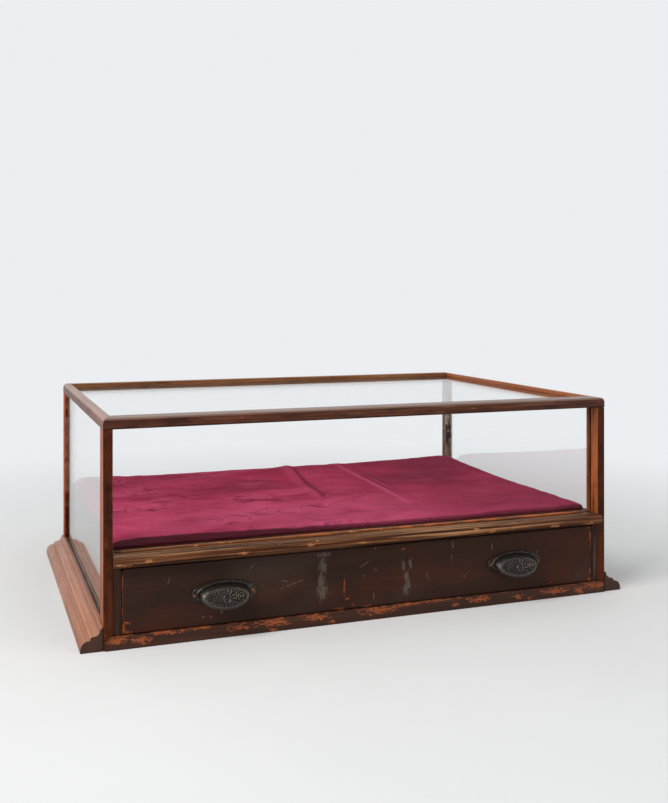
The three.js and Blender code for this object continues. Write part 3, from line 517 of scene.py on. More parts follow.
def sill_wood():
    """The nosed sill: weathered, with strong streaks, dark lines along its top and painted shade on its underside.
    """
    wood = Wood("sill_wood", "X", (38, 20, 10), (98, 55, 30), (164, 112, 70), 0.42, 0.12, 0.2)
    top = wood.towards("Z", 0.5, 0.9)
    wood.blend(top, wood.mix(wood.spread(wood.streak, 0.36, 0.64), (54, 28, 14), (168, 114, 68)), 0.5)
    for scale, low, high, amount in (150, 0.52, 0.6, 0.6), (330, 0.52, 0.59, 0.8), (700, 0.55, 0.62, 0.6):
        lines = wood.blotches(low, high, (2.5, scale, scale), 3, 0.5, at=(0, 3, scale))
        wood.darken(lines, amount, (0.3, 0.22, 0.18, 1))
        wood.height = wood.less(wood.height, wood.times(lines, 0.7))
    wood.blend(wood.blotches(0.57, 0.64, (4, 260, 260), 3, 0.5, at=(5, 1, 3)), (198, 148, 102), 0.5)
    # Painted shade on the underside of the nosing
    wood.darken(wood.under("Z", SILL_TOP - 13 * MM, SILL_TOP - 9 * MM), 0.75)
    wood.worn(wood.patches(SILL_WEAR, (150, 150, 420), 3.6), (192, 126, 80), 0.9)
    specks = wood.blotches(0.7, 0.74, 150, 2, at=(2, 7, 1))
    wood.worn(wood.times(specks, top), (214, 172, 128), 0.9)
    seam = wood.between("Z", SILL_TOP - 3.2 * MM, SILL_TOP - 1.6 * MM)
    broken = wood.blotches(0.4, 0.55, (14, 60, 60), 3, at=(4, 4, 1))
    wood.darken(wood.times(seam, broken), 0.55)
    wood.rubbed(1.6 * MM, (170, 112, 74), 0.45, 0.4, 0.62, 30)
    return wood.done(0.4 * MM)


def bead_wood():
    wood = Wood("bead_wood", "X", (128, 62, 28), (184, 96, 44), (212, 132, 72), 0.5, 0.25)
    dirt = wood.blotches(0.48, 0.56, (30, 60, 60), 4, 0.6, at=(1, 1, 9))
    left = wood.over("X", -0.2, 0, 0.8, 0)
    dirt = wood.either(wood.times(dirt, 0.75), left)
    wood.grain(dirt, (66, 38, 22), (118, 74, 44))
    wood.blend(wood.blotches(0.62, 0.67, 120, 3, at=(3, 3, 3)), (206, 140, 90), 0.8)
    return wood.done()


def glass_material(name, mirror):
    """Thin clear sheet glass that doesn't bend light; mirror is the index that its reflections follow."""
    glass = Surface(
        name, Transmission_Weight=1.0, IOR=1.0, Roughness=0.0, Coat_Weight=1.0, Coat_IOR=mirror, Coat_Roughness=0.01)
    tint = glass.ramp(glass.noise(6, 4, 0.6), (0.3, (0.975, 0.988, 0.985, 1)), (0.7, (0.99, 0.997, 0.995, 1)))
    glass.feed(glass.shader.inputs["Base Color"], tint)
    bump = glass.add("ShaderNodeBump", {"Height": glass.noise(3, 1), "Strength": 0.1, "Distance": 1 * MM})
    glass.feed(glass.shader.inputs["Coat Normal"], bump.outputs[0])
    clear = glass.add("ShaderNodeBsdfTransparent", {"Color": (0.94, 0.97, 0.96, 1)})
    # Light on its way to and from the satin passes straight through, so that it is counted once and without noise
    glass.feed(glass.surface, glass.choose(glass.rays("Shadow", "Diffuse"), glass.shader, clear))
    return glass.material


def satin_material():
    """Crimson satin with a fine twill; painted sheen makes it paler in front of an old fold, painted shade makes it
    darker towards the rear and right, and it is paler again along the rear edge.
    """
    satin = Surface(
        "satin", Specular_IOR_Level=0.0, Metallic=0.15, Specular_Tint=linear((190, 50, 90)), Sheen_Weight=0.03,
        Sheen_Roughness=0.4, Sheen_Tint=linear((230, 120, 160)))
    clouds = satin.noise((5, 9, 5), 4, 0.55)
    drift = satin.less(satin.noise(3, 2, at=(2, 2, 2)), 0.5)
    place = satin.plus(satin.part("Y"), satin.times(drift, 0.09))
    # Painted sheen and shade: darker behind an old fold and towards the rear and right
    fold = satin.times(
        satin.spread(place, 0.008, 0.026), satin.under("X", -0.02, 0.06), satin.over("X", -0.25, -0.05, 0.5, 1))
    slow = satin.times(satin.spread(place, -0.3, 0.12, 0.25, 1), satin.over("X", -0.1, 0.2, 0.35, 1))
    rear = satin.times(satin.either(fold, slow), satin.spread(place, 0.222, 0.236, 1, 0.3))
    rich = (152, 20, 54)
    front = satin.mix(satin.spread(clouds, 0.3, 0.6), rich, (200, 70, 106))
    satin.colour = satin.mix(rear, front, satin.mix(satin.spread(clouds, 0.35, 0.65), (94, 4, 26), rich))
    # Painted sheen: a paler band at the front left
    painted_sheen_band = satin.times(
        satin.over("X", -0.26, -0.12), satin.under("X", 0.02, 0.2), satin.spread(place, -0.16, -0.04, 0.45, 0))
    satin.blend(painted_sheen_band, (220, 92, 128))
    # Painted shade: darker towards the right and the rear
    shade = satin.plus(satin.over("X", 0, 0.3, 0, 0.4), satin.spread(place, 0.1, 0.27, 0, 0.4))
    satin.blend(shade, (84, 6, 26))
    mottle = satin.noise((13, 24, 13), 5, 0.65, 0.6, (6, 2, 4))
    satin.blend(satin.spread(mottle, 0.3, 0.52, 0.5, 0), (104, 6, 32))
    satin.blend(satin.spread(mottle, 0.52, 0.72, 0, 0.35), (206, 80, 118))
    twill = satin.add("ShaderNodeTexWave", {
        "Vector": satin.scaled((1, 0.35, 0)), "Scale": 150.0, "Distortion": 0.6, "Detail": 1.0},
        bands_direction="DIAGONAL").outputs["Fac"]
    satin.blend(twill, (224, 94, 136), 0.24)
    threads = satin.noise((18, 900, 18), 3, 0.5)
    satin.blend(satin.spread(threads, 0.4, 0.7, 0, 0.18), (98, 6, 34))
    # Painted highlight on one flank of each fold and painted shadow on the other
    lean = satin.carried("flank")
    satin.blend(satin.spread(lean, 0.03, 0.35, 0, 0.42), (222, 104, 142))
    satin.blend(satin.spread(lean, -0.4, -0.03, 0.7, 0), (70, 8, 28))
    # The front hem rolls down out of the light, deepest at its left end
    depth = satin.over("X", -0.42, 0.1, 14 * MM, 5 * MM)
    wander = satin.times(satin.less(satin.noise((13, 0, 0), 3, 0.6), 0.5), depth, 1.5)
    reach = satin.less(satin.part("Y"), satin.plus(depth, wander))
    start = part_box("satin_bed")[0][1]
    hem = satin.times(
        satin.spread(reach, start - 3 * MM, start + 3 * MM, 1, 0), satin.over("X", -0.15, 0.1, 0.92, 0.66))
    satin.blend(hem, (52, 0, 8))
    # Wrinkles: painted shadow along each line and a painted highlight band beside it, most of them on the left
    line = satin.absolute(satin.less(satin.noise((17, 26, 17), 3, 0.5, 0.9, (4, 1, 1)), 0.5))
    some = satin.times(
        satin.blotches(0.44, 0.6, (9, 14, 9), 2, at=(1, 8, 1)), satin.over("X", -0.12, 0.08, 1, 0.3))
    wrinkle_highlight = satin.times(satin.spread(line, 0.03, 0.07), satin.spread(line, 0.07, 0.13, 1, 0))
    satin.blend(satin.times(wrinkle_highlight, some, satin.spread(hem, 0, 0.3, 0.3, 0)), (224, 104, 140))
    wrinkle = satin.times(satin.spread(line, 0, 0.035, 1, 0), some)
    # Painted shadow in the wrinkle lines
    satin.blend(wrinkle, (70, 4, 24), 0.55)
    creases = satin.noise((24, 40, 24), 4, 0.6, 0.8)
    height = satin.plus(twill, satin.times(threads, 0.8), satin.times(creases, 16.0), satin.times(wrinkle, -7.0))
    return satin.finish(satin.spread(clouds, 0.3, 0.7, 0.56, 0.44), height, 0.12 * MM)


def metal(name, dark, mid, light, gloss, metallic=0.75):
    """A mottled metal, paler along its edges, and its roughness."""
    cast = Surface(name, Metallic=metallic)
    patches = cast.noise(260, 4, 0.6)
    cast.colour = cast.ramp(patches, (0.3, dark), (0.55, mid), (0.85, light))
    cast.blend(cast.edges(0.8 * MM, 0.01, 0.12), light, 0.4)
    return cast, cast.spread(patches, 0.3, 0.7, gloss + 0.12, gloss - 0.08)


def cast_metal():
    """Dark japanned iron with some rust, darker in the ground of its relief, painted shade in its hollows and a
    painted shine on the crests.
    """
    cast, roughness = metal("cast_metal", (38, 34, 31), (58, 53, 49), (112, 106, 100), 0.36)
    cast.blend(cast.blotches(0.55, 0.7, 70, 4, 0.6, at=(1, 3, 5)), (80, 58, 40), 0.5)
    crest = cast.carried("crest")
    # Darker in the ground of the relief
    cast.blend(cast.spread(crest, 0.1, 0.45, 0.9, 0), (16, 11, 8))
    # Painted shine on the crests
    cast.blend(cast.spread(crest, 0.55, 0.95, 0, 0.65), (102, 92, 80))
    # Painted shade in the hollows
    cast.blend(cast.spread(cast.hollows(1.3 * MM), 0.4, 0.85, 0.92, 0), (26, 16, 11))
    return cast.finish(roughness, cast.noise(900, 3), 0.12 * MM)


def screw_metal():
    rusty, roughness = metal("screw_metal", (58, 32, 22), (98, 62, 42), (160, 124, 96), 0.42, 0.85)
    return rusty.finish(roughness, rusty.noise(900, 3), 0.15 * MM)


# ---- Pieces

SOFT_EDGE = 0.4 * MM  # width of the bevel on wooden edges


def new_object(name, data):
    made = bpy.data.objects.new(name, data)
    bpy.context.scene.collection.objects.link(made)
    return made


def new_piece(name, mesh, material, body, replaced):
    mesh.materials.clear()
    mesh.materials.append(material)
    piece = new_object(name, mesh)
    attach(piece, body)
    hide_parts(replaced)
    return piece


@contextmanager
def editing(mesh):
    """The mesh as a bmesh, which is written back at the end."""
    bm = bmesh.new()
    bm.from_mesh(mesh)
    yield bm
    bm.to_mesh(mesh)
    bm.free()


def points(mesh):
    """The places of a mesh's points, one in each row."""
    places = np.empty(len(mesh.vertices) * 3)
    mesh.vertices.foreach_get("co", places)
    return places.reshape(-1, 3)


def carry(mesh, name, values):
    """Puts a value on each of a mesh's points, for its material."""
    mesh.attributes.new(name, "FLOAT", "POINT").data.foreach_set("value", values)


def smooth(mesh, angle=35):
    mesh.shade_smooth()
    mesh.set_sharp_from_angle(angle=math.radians(angle))


def dress(slot, material, *names):
    """Copies of CAD nodes with softened edges, which replace them."""
    for name in names:
        source = cad[name]
        mesh = source.data.copy()
        with editing(mesh) as bm:
            bmesh.ops.remove_doubles(bm, verts=bm.verts, dist=1e-6)
            bmesh.ops.dissolve_limit(bm, angle_limit=math.radians(0.5), verts=bm.verts, edges=bm.edges)
            sharp = [e for e in bm.edges if e.is_manifold and e.calc_face_angle(0) > math.radians(30)]
            bmesh.ops.bevel(
                bm, geom=sharp, offset=SOFT_EDGE, segments=2, profile=0.6, affect="EDGES", clamp_overlap=True)
        smooth(mesh)
        new_piece(name + "_wood", mesh, material, source["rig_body"], name)


def dress_case():
    posts, across, lengthwise = post_wood(), rail_wood(), side_rail_wood()
    for side in SIDES:
        dress("mahogany", posts, f"front_{side}_post", f"rear_{side}_post", f"front_{side}_corner_bead")
        dress("mahogany", lengthwise, f"{side}_top_rail", f"{side}_bottom_rail")
    dress("mahogany", across, "rear_sill", "bottom_rear_rail")
    dress("mahogany", front_top_wood(), "front_top_rail")
    dress("mahogany", rear_top_wood(), "rear_top_rail")
    dress("mahogany", sill_wood(), "front_sill")
    dress("mahogany", front_rail_wood(), "bottom_front_rail")
    dress("worn_bead", bead_wood(), "front_sill_bead")
    dress("dark_panel", drawer_wood(), "drawer_front")
    dress("dark_panel", plain_panel("panel_wood_x"), "back_board")
    bay, mouldings, bare_x, bare_y = bay_wood(), moulding_wood(), bare_wood("X"), bare_wood("Y")
    for side in SIDES:
        dress("dark_panel", bay, f"{side}_bay_side")
        dress("moulding", mouldings, f"{side}_base_moulding")
        dress("secondary_wood", bare_y, f"{side}_runner", f"{side}_kicker", f"{side}_stop", f"drawer_{side}_side")
    dress("secondary_wood", plain_panel("deck_wood"), "display_deck")
    dress("secondary_wood", bare_x, "bed_board", "case_floor", "drawer_back", "drawer_bottom")


def set_glass():
    clear, bright = glass_material("glass", 1.18), glass_material("side_glass", 1.8)
    for side, glass in ("top", clear), ("front", clear), ("left", bright), ("right", bright):
        materials = cad[side + "_glass"].data.materials
        materials.clear()
        materials.append(glass)


# ---- Cup pulls

PULL_HALF, PULL_RISE, PULL_REACH = 50.5, 19.0, 24.5  # millimetres, as in the solids
HOOD_HALF, HOOD_RISE, HOOD_FULLNESS, HOOD_WALL = 39.0, 14.5, 0.6, 2.2
OVAL_HALF, OVAL_RISE, OVAL_DROP, OVAL_BEAD = 33.0, 12.5, 3.0, 1.05
RELIEF_DEPTH = 1.35  # of the ornament, which only the mesh has
HOOD_COLUMNS, HOOD_ROWS = 211, 97
DOME_HEIGHT, SLOT_DEPTH, SHANK_SHARE = 1.7 * MM, 0.7 * MM, 0.48  # of a screw


def sheet_mesh(name, grids):
    """One mesh from grids of points, each closed round on itself where its last row or column repeats the first."""
    vertices, faces = [], []
    for grid in grids:
        rows, columns, _ = grid.shape
        start = len(vertices)
        vertices.extend(grid.reshape(-1, 3).tolist())
        for i in range(rows - 1):
            for j in range(columns - 1):
                a = start + i * columns + j
                faces.append((a, a + 1, a + columns + 1, a + columns))
    mesh = bpy.data.meshes.new(name)
    mesh.from_pydata(vertices, [], faces)
    with editing(mesh) as bm:
        bmesh.ops.remove_doubles(bm, verts=bm.verts, dist=2e-6)
        bmesh.ops.dissolve_degenerate(bm, edges=bm.edges, dist=1e-6)
        bmesh.ops.recalc_face_normals(bm, faces=bm.faces)
    return mesh


def smooth_step(value, low, high):
    share = np.clip((value - low) / (high - low), 0, 1)
    return share * share * (3 - 2 * share)


def hood_grid(angles, turns, wall):
    angle, turn = np.meshgrid(angles, turns, indexing="ij")
    sine = np.sin(angle)
    reach = PULL_REACH * sine ** HOOD_FULLNESS
    lip = -PULL_RISE * sine
    rise = HOOD_RISE * sine - lip
    skin = np.minimum(wall, np.minimum(reach, rise) * 0.33)
    quarter = turn * math.pi / 2
    return np.stack([
        HOOD_HALF * np.cos(angle), -(reach - skin) * np.sin(quarter), lip + (rise - skin) * np.cos(quarter)], -1)


def polar(x, z):
    return np.hypot(x, z), np.arctan2(z, x)


def relief(x, z):
    """Height of the cast ornament in the oval: a looped rosette, rays, a scroll and a studded ground."""
    z = z + OVAL_DROP
    rim, around = polar(x / OVAL_HALF, z / OVAL_RISE)
    inside = smooth_step(-rim, -0.99, -0.9)
    radius, turn = polar(x + 0.5, z + 1.2)
    loop = 5.2 + 2.6 * np.exp(-((turn - 1.35) / 0.4) ** 2)
    height = 1.1 * np.exp(-((radius - loop) / 0.85) ** 2) + 0.6 * np.exp(-(radius / 1.5) ** 2)
    height += 0.5 * np.exp(-((radius - 3.0) / 0.5) ** 2)
    rays = smooth_step(radius, 6.5, 8) * smooth_step(-radius, -16, -12)
    rays *= smooth_step(np.cos(turn - 0.5), 0.45, 0.7)
    height += rays * (0.45 + 0.6 * np.cos(turn * 14))
    scroll_radius, scroll_turn = polar(x - 21.5, z - 0.8)
    scroll = smooth_step(-scroll_radius, -8.5, -7)
    height += scroll * (0.5 + 0.65 * np.cos(2 * math.pi * scroll_radius / 3.3 - scroll_turn))
    ground = (1 - rays) * (1 - scroll) * smooth_step(radius, loop + 1.2, loop + 2.6)
    studs = np.cos(x * 1.5 + 0.6 * np.sin(z * 0.7)) * np.cos(z * 1.65 + 0.5 * np.sin(x * 0.5))
    height += ground * (0.2 + 0.55 * studs)
    band = smooth_step(rim, 0.76, 0.82) * smooth_step(-rim, -0.94, -0.88)
    height = height * (1 - 0.7 * band) + band * (0.35 + 0.35 * np.cos(around * 34))
    return inside * RELIEF_DEPTH * (height - 0.5)


def cup_pull(side, material):
    low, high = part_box(f"{side}_cup_pull")
    middle = np.array([(low[0] + high[0]) / 2, high[1], high[2] - PULL_RISE * MM])
    angles = np.pi * (1 - (0.35 + np.arange(HOOD_COLUMNS)) / HOOD_COLUMNS)
    turns = np.linspace(0, 1, HOOD_ROWS)
    outer = hood_grid(angles, turns, 0)
    across, down = np.gradient(outer, axis=0), np.gradient(outer, axis=1)
    normal = np.cross(down, across)
    normal /= np.maximum(np.linalg.norm(normal, axis=2, keepdims=True), 1e-9)
    outer = outer + normal * relief(outer[..., 0], outer[..., 2])[..., None]
    inner = hood_grid(angles[::6], turns[::8], HOOD_WALL)
    edge = np.stack([outer[::6, -1], inner[:, -1]], 1)
    top = np.stack([outer[::6, 0], inner[:, 0]], 1)
    # Rim: a bead, a flat and a second bead, from the flange's edge in to the hood, open below
    profile = [
        (0, 0), (0, 1.2), (0.03, 1.9), (0.1, 2.4), (0.19, 2.35), (0.26, 1.9), (0.32, 1.5), (0.62, 1.4),
        (0.7, 1.7), (0.78, 2.9), (0.86, 3.5), (0.94, 3.4), (1.02, 2.8), (1.1, 1.4), (1.1, 0), (0, 0)]
    round_rim = np.radians(np.linspace(-43.5, 223.5, 150))
    share, height = np.array(profile).T
    half, rise = PULL_HALF + (HOOD_HALF - PULL_HALF) * share, PULL_RISE + (HOOD_RISE - PULL_RISE) * share
    rim = np.array([np.stack([half * math.cos(a), -height, rise * math.sin(a)], 1) for a in round_rim])
    caps = [np.stack([rim[end], np.broadcast_to(rim[end].mean(0), rim[end].shape)]) for end in (0, -1)]
    # Bead round the oval, which follows the hood's face
    turns_round = np.linspace(0, 2 * math.pi, 121)
    x = OVAL_HALF * np.cos(turns_round)
    z = OVAL_RISE * np.sin(turns_round) - OVAL_DROP
    sine = np.sqrt(1 - (x / HOOD_HALF) ** 2)
    quarter = np.arccos(np.clip((z + PULL_RISE * sine) / ((HOOD_RISE + PULL_RISE) * sine), 0, 1))
    path = np.stack([x, -PULL_REACH * sine ** HOOD_FULLNESS * np.sin(quarter), z], 1)
    ahead = np.roll(path[:-1], -1, 0) - np.roll(path[:-1], 1, 0)
    ahead = np.vstack([ahead, ahead[:1]])
    ahead /= np.linalg.norm(ahead, axis=1, keepdims=True)
    side_way = np.cross(ahead, (0, -1, 0.35))
    side_way /= np.linalg.norm(side_way, axis=1, keepdims=True)
    up_way = np.cross(side_way, ahead)
    bead = np.stack([
        path + OVAL_BEAD * (math.cos(t) * side_way + math.sin(t) * up_way)
        for t in np.linspace(0, 2 * math.pi, 13)], 1)
    grids = [grid * MM + middle for grid in (outer, inner, edge, top, rim, *caps, bead)]
    mesh = sheet_mesh(f"{side}_pull", grids)
    smooth(mesh, 50)
    # The height of the relief, for the darker ground and the painted shine on its crests
    x, y, z = ((points(mesh) - middle) / MM).T
    crest = np.where(y < -5, relief(x, z) / RELIEF_DEPTH + 0.5, 0.5)
    # The bead round the oval gets the painted shine too
    crest = np.where(np.abs(np.hypot(x / OVAL_HALF, (z + OVAL_DROP) / OVAL_RISE) - 1) < 0.06, 0.8, crest)
    carry(mesh, "crest", crest)
    new_piece(f"{side}_pull_cast", mesh, material, "drawer", f"{side}_cup_pull")


def slotted_screw(name, material, turn):
    """A domed head with a slot, on its shank."""
    low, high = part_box(name)
    middle = np.array([(low[0] + high[0]) / 2, 0, (low[2] + high[2]) / 2])
    radius, seat = (high[0] - low[0]) / 2, low[1] + DOME_HEIGHT
    around = np.linspace(0, 2 * math.pi, 49)

    def ring(share, depth):
        reach = radius * share
        return np.stack([reach * np.cos(around), np.broadcast_to(depth, around.shape), reach * np.sin(around)], 1)

    rows = []
    for share in np.linspace(0, 1, 25):
        dome = low[1] + DOME_HEIGHT * (1 - math.sqrt(1 - share * share))
        off = np.abs(radius * share * np.cos(around - turn))
        slot = SLOT_DEPTH * (1 - smooth_step(off, 0.38 * MM, 0.52 * MM))
        rows.append(ring(share, np.minimum(dome + slot, seat)))
    rows += [ring(SHANK_SHARE, seat), ring(SHANK_SHARE, high[1]), ring(0, high[1])]
    mesh = sheet_mesh(name, [np.array(rows) + middle])
    smooth(mesh, 40)
    new_piece(name + "_turned", mesh, material, "drawer", name)


def set_metal():
    cast, rusty = cast_metal(), screw_metal()
    for number, side in enumerate(SIDES):
        cup_pull(side, cast)
        for step, end in enumerate(SIDES):
            slotted_screw(f"{side}_pull_{end}_screw", rusty, 0.4 + 1.3 * number + 2.1 * step)


# ---- Satin bed

CLOTH_FRAMES = 20
CLOTH_CAP = 3 * MM  # the furthest that the simulation may move a point
FABRIC_ALLOWANCE = 7 * MM  # how far cloth may rise over the solid's box

# Old folds of the cloth as lines of (x, y) millimetres, with their height and width
FOLDS = [
    ([(28, 272), (4, 122), (-8, 35), (-10, -51)], 4.0, 18, 6),
    ([(128, 262), (125, 69), (122, -55), (121, -163)], 2.8, 7, 3.5),
    ([(138, 262), (135, 69), (132, -55), (131, -163)], 2.2, 3.5, 7),
    ([(-400, 23), (-250, 22), (-149, 4), (-56, 24), (20, 30)], 0.8, 7, 7),
    ([(-403, -252), (-296, -249), (-272, -283)], 1.6, 5, 4),
    ([(-380, -190), (-364, -216)], 1.2, 4, 4),
    ([(-358, -88), (-342, -112)], 1.0, 5, 4),
    ([(-268, -244), (-200, -240), (-120, -246)], 1.2, 4, 6),
    ([(240, -236), (300, -228), (380, -222)], 1.2, 5, 5),
    ([(330, -160), (352, -196)], 0.9, 5, 5)]


def fold_heights(x, y):
    """Height of the folds over points of the cloth, in metres."""
    total = np.zeros_like(x)
    for line, height, wide_left, wide_right in FOLDS:
        best = np.full_like(x, 1e9)
        signed = np.zeros_like(x)
        for (ax, ay), (bx, by) in zip(line, line[1:]):
            dx, dy = bx - ax, by - ay
            share = np.clip(((x - ax) * dx + (y - ay) * dy) / (dx * dx + dy * dy), 0, 1)
            away_x, away_y = x - ax - share * dx, y - ay - share * dy
            away = np.hypot(away_x, away_y)
            nearer = away < best
            best = np.where(nearer, away, best)
            signed = np.where(nearer, away_x * dy - away_y * dx, signed)
        width = np.where(signed > 0, wide_left, wide_right)
        total += height * np.exp(-(best / width) ** 1.6)
    return total * MM


def ripples(x, y):
    """Slow waves of loose cloth, in millimetres."""
    wave = np.sin(x / 61 + 1.3 * np.sin(y / 83)) * np.sin(y / 47 + 0.9 * np.sin(x / 71 + 1))
    wave += 0.5 * np.sin(x / 23 + 2.1 * np.sin(y / 39)) * np.sin(y / 29 + 1.7)
    return wave


def satin_bed():
    """The pad: a cloth lid over the board, blown up by a cloth simulation, then folded and creased."""
    low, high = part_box("satin_bed")
    step = 6 * MM
    left, right, near, far = low[0] + 1 * MM, high[0] - 1 * MM, low[1] + 1 * MM, high[1] - 1 * MM
    columns, rows = round((right - left) / step) + 1, round((far - near) / step) + 1
    xs, ys = np.linspace(left, right, columns), np.linspace(near, far, rows)
    x, y = np.meshgrid(xs, ys, indexing="ij")
    from_edge = np.minimum.reduce([x - left, right - x, y - near, far - y])
    rear, front = high[2] - 3.4 * MM, low[2] + 4.4 * MM
    top = front + (rear - front) * ((y - near) / (far - near))
    edge_height = low[2] + 2.2 * MM
    round_off = np.clip(from_edge / (7 * MM), 0, 1)
    z = edge_height + (top - edge_height) * np.sqrt(1 - (1 - round_off) ** 2)
    z += 0.25 * MM * ripples(x / MM, y / MM) * round_off
    from_edge = from_edge.reshape(-1)
    outline = [(i, 0) for i in range(columns)] + [(columns - 1, j) for j in range(1, rows)]
    outline += [(i, rows - 1) for i in range(columns - 2, -1, -1)] + [(0, j) for j in range(rows - 2, 0, -1)]
    vertices = np.stack([x, y, z], -1).reshape(-1, 3).tolist()
    cells = [(i, j) for i in range(columns - 1) for j in range(rows - 1)]
    faces = [(i * rows + j, (i + 1) * rows + j, (i + 1) * rows + j + 1, i * rows + j + 1) for i, j in cells]
    # Skirts down over the board's edges, then in and up inside them
    bottom, drop, thick = low[2] + 0.1 * MM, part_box("bed_board")[0][2] + 0.6 * MM, 0.9 * MM
    loop = [i * rows + j for i, j in outline]
    levels = [(0, low[2] + 0.2 * MM), (0, (low[2] + drop) / 2), (0, drop), (thick, drop), (thick, bottom)]
    middle_x, middle_y = (left + right) / 2, (near + far) / 2
    for inset, level in levels:
        start = len(vertices)
        for i, j in outline:
            inset_x = inset * np.sign(xs[i] - middle_x) if i in (0, columns - 1) else 0
            inset_y = inset * np.sign(ys[j] - middle_y) if j in (0, rows - 1) else 0
            vertices.append((xs[i] - inset_x, ys[j] - inset_y, level))
        ring = list(range(start, len(vertices)))
        faces.extend((loop[k - 1], ring[k - 1], ring[k], loop[k]) for k in [*range(1, len(ring)), 0])
        loop = ring
    # Underside: a grid within the last ring
    under = dict(zip(outline, loop))
    for i in range(1, columns - 1):
        for j in range(1, rows - 1):
            under[i, j] = len(vertices)
            vertices.append((xs[i], ys[j], bottom))
    faces.extend((under[i, j], under[i, j + 1], under[i + 1, j + 1], under[i + 1, j]) for i, j in cells)
    mesh = bpy.data.meshes.new("satin_cloth")
    mesh.from_pydata(vertices, [], faces)
    with editing(mesh) as bm:
        bmesh.ops.recalc_face_normals(bm, faces=bm.faces)
    piece = new_piece("satin_cloth", mesh, satin_material(), "case", "satin_bed")
    swell(piece, from_edge)
    settle(mesh, from_edge, low, high)
    subdivision = piece.modifiers.new("smooth", "SUBSURF")
    subdivision.levels = subdivision.render_levels = 1
    smooth(mesh, 70)


def swell(piece, from_edge):
    """Cloth pressure and a little spare cloth, with the skirts held; no point moves more than the cap."""
    held = piece.vertex_groups.new(name="held")
    skirts = range(len(from_edge), len(piece.data.vertices))
    held.add([*np.flatnonzero(from_edge < 1 * MM).tolist(), *skirts], 1.0, "REPLACE")
    cloth = piece.modifiers.new("cloth", "CLOTH")
    put(cloth.settings, quality=5, mass=0.3, tension_stiffness=15, compression_stiffness=15, bending_stiffness=0.6,
        shrink_min=-0.012, use_pressure=True, uniform_pressure_force=4, vertex_group_mass="held")
    cloth.settings.effector_weights.gravity = 0
    cloth.collision_settings.use_collision = False
    scene = bpy.context.scene
    for number in range(1, CLOTH_FRAMES + 1):
        scene.frame_set(number)
    swollen = piece.evaluated_get(bpy.context.evaluated_depsgraph_get())
    moved = points(swollen.to_mesh())
    swollen.to_mesh_clear()
    scene.frame_set(1)
    piece.modifiers.remove(cloth)
    before = points(piece.data)
    move = moved - before
    length = np.maximum(np.linalg.norm(move, axis=1, keepdims=True), 1e-9)
    move *= CLOTH_CAP * np.tanh(length / CLOTH_CAP) / length
    piece.data.vertices.foreach_set("co", (before + move).reshape(-1))
    piece.vertex_groups.clear()


def settle(mesh, from_edge, low, high):
    """Folds and creases on the swollen top, kept inside the solid's box with its fabric allowance."""
    place = points(mesh)
    x, y, z = place[:len(from_edge)].T
    inside = np.clip(from_edge / (9 * MM), 0, 1)
    z += fold_heights(x / MM, y / MM) * (0.35 + 0.65 * inside)
    z += 0.35 * MM * ripples(x / (0.4 * MM), y / (0.7 * MM)) * inside
    # Loose hems: the front one rolls down and all edges wander
    roll = np.interp(x / MM, (-400, 300), (20, 10)) + 4 * np.sin(x / (37 * MM))
    z -= 2.2 * MM * (1 - np.clip((y - low[1]) / MM / roll, 0, 1)) ** 1.5
    wander = np.sin(x / (31 * MM)) + 0.6 * np.sin(x / (13 * MM) + 2)
    z += (1 - np.clip(from_edge / (12 * MM), 0, 1)) * 0.5 * MM * wander
    along_side = np.sin(math.pi * np.clip((y - low[1]) / (high[1] - low[1]), 0, 1)) ** 2
    z -= 2 * MM * along_side * np.clip(1 - (high[0] - x) / (45 * MM), 0, 1)
    np.clip(z, None, high[2] + FABRIC_ALLOWANCE, out=z)
    mesh.vertices.foreach_set("co", place.reshape(-1))
    # Slope across the folds, for a painted highlight on one flank and painted shadow on the other
    x, y = x / MM, y / MM
    lean = (fold_heights(x + 2, y) - fold_heights(x - 2, y)) / (4 * MM)
    lean += 0.4 * (fold_heights(x, y + 2) - fold_heights(x, y - 2)) / (4 * MM)
    carry(mesh, "flank", np.concatenate([lean, np.zeros(len(place) - len(lean))]))


# ---- Stage

WALL_COLOUR = linear((236, 238, 241))
SEEN = ("Camera", "Glossy", "Transmission")  # rays of the camera, also through and in the glass
LAMP_TARGET = Vector((0, 0, 0.1))


def make_camera():
    """The photo's camera, as fitted to nine corners of the case."""
    camera = new_object("camera", bpy.data.cameras.new("camera"))
    camera.location = (-0.6165, FRONT - 1.47817, 0.51405)
    camera.rotation_euler = (math.radians(90), 0, math.radians(-20.222))
    put(camera.data, sensor_width=36, lens=45.433, shift_y=-0.13497, clip_end=50)
    bpy.context.scene.camera = camera


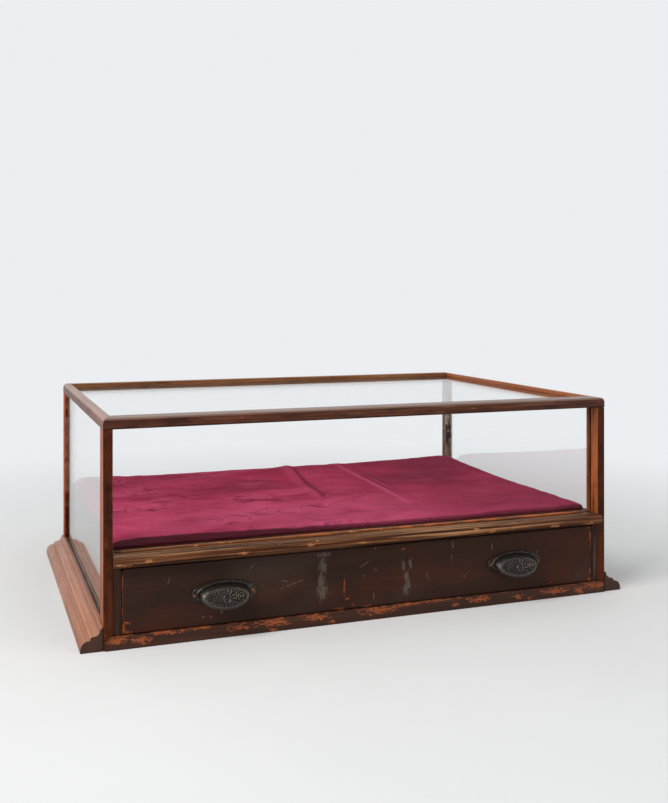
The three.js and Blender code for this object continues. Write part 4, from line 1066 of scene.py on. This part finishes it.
def make_stage():
    """A pale floor that curves up into a pale backdrop."""
    half, near, far, radius, top = 9.0, -6.0, 4.5, 1.2, 7.0
    line = [(near, 0.0)]
    for i in range(17):
        turn = math.radians(90) * i / 16
        line.append((far - radius + radius * math.sin(turn), radius - radius * math.cos(turn)))
    line.append((far, top))
    vertices = [(x, y, z) for y, z in line for x in (-half, half)]
    faces = [(2 * i, 2 * i + 1, 2 * i + 3, 2 * i + 2) for i in range(len(line) - 1)]
    mesh = bpy.data.meshes.new("stage")
    mesh.from_pydata(vertices, [], faces)
    mesh.shade_smooth()
    stage = new_object("stage", mesh)
    cover = Surface("stage", Specular_IOR_Level=0.1)
    tone = cover.noise(3, 3)
    cover.colour = cover.ramp(tone, (0.3, (228, 227, 226)), (0.7, (231, 230, 229)))
    cover.finish(0.9, tone, 0.2 * MM)
    # Away from the object the floor and backdrop turn into one plain pale colour
    wall = cover.add("ShaderNodeEmission", {"Color": WALL_COLOUR, "Strength": 1.0})
    away = cover.spread(cover.length(cover.place), 0.5, 1.7)
    cover.feed(cover.surface, cover.choose(cover.times(cover.rays(*SEEN), away), cover.shader, wall))
    mesh.materials.append(cover.material)


def make_lamp(name, place, size, power):
    lamp = new_object(name, bpy.data.lights.new(name, "AREA"))
    put(lamp.data, shape="SQUARE", size=size, energy=power)
    lamp.location = place
    lamp.rotation_euler = (LAMP_TARGET - Vector(place)).to_track_quat("-Z", "Y").to_euler()


def make_light():
    """A soft key from the left, a weak fill and a pale world; mirror and camera rays meet a plain wall colour."""
    make_lamp("key", (-2.4, -1.3, 2.4), 1.8, 85)
    make_lamp("fill", (2.6, -2.0, 1.6), 2.0, 18)
    world = bpy.data.worlds.new("world")
    world.use_nodes = True
    sky = Nodes(world.node_tree)
    light = sky.tree.nodes["Background"]
    sky.feed(light.inputs["Color"], (0.96, 0.98, 1.0, 1))
    sky.feed(light.inputs["Strength"], 0.55)
    # Seen by the camera, also through or in the glass, the sky has the wall's colour; it lights nothing more
    wall = sky.add("ShaderNodeBackground", {"Color": WALL_COLOUR})
    sky.feed(sky.tree.nodes["World Output"].inputs["Surface"], sky.choose(sky.rays(*SEEN), light, wall))
    bpy.context.scene.world = world


make_camera()
dress_case()
set_glass()
set_metal()
satin_bed()
make_stage()
make_light()
bpy.context.scene.view_settings.view_transform = "Standard"
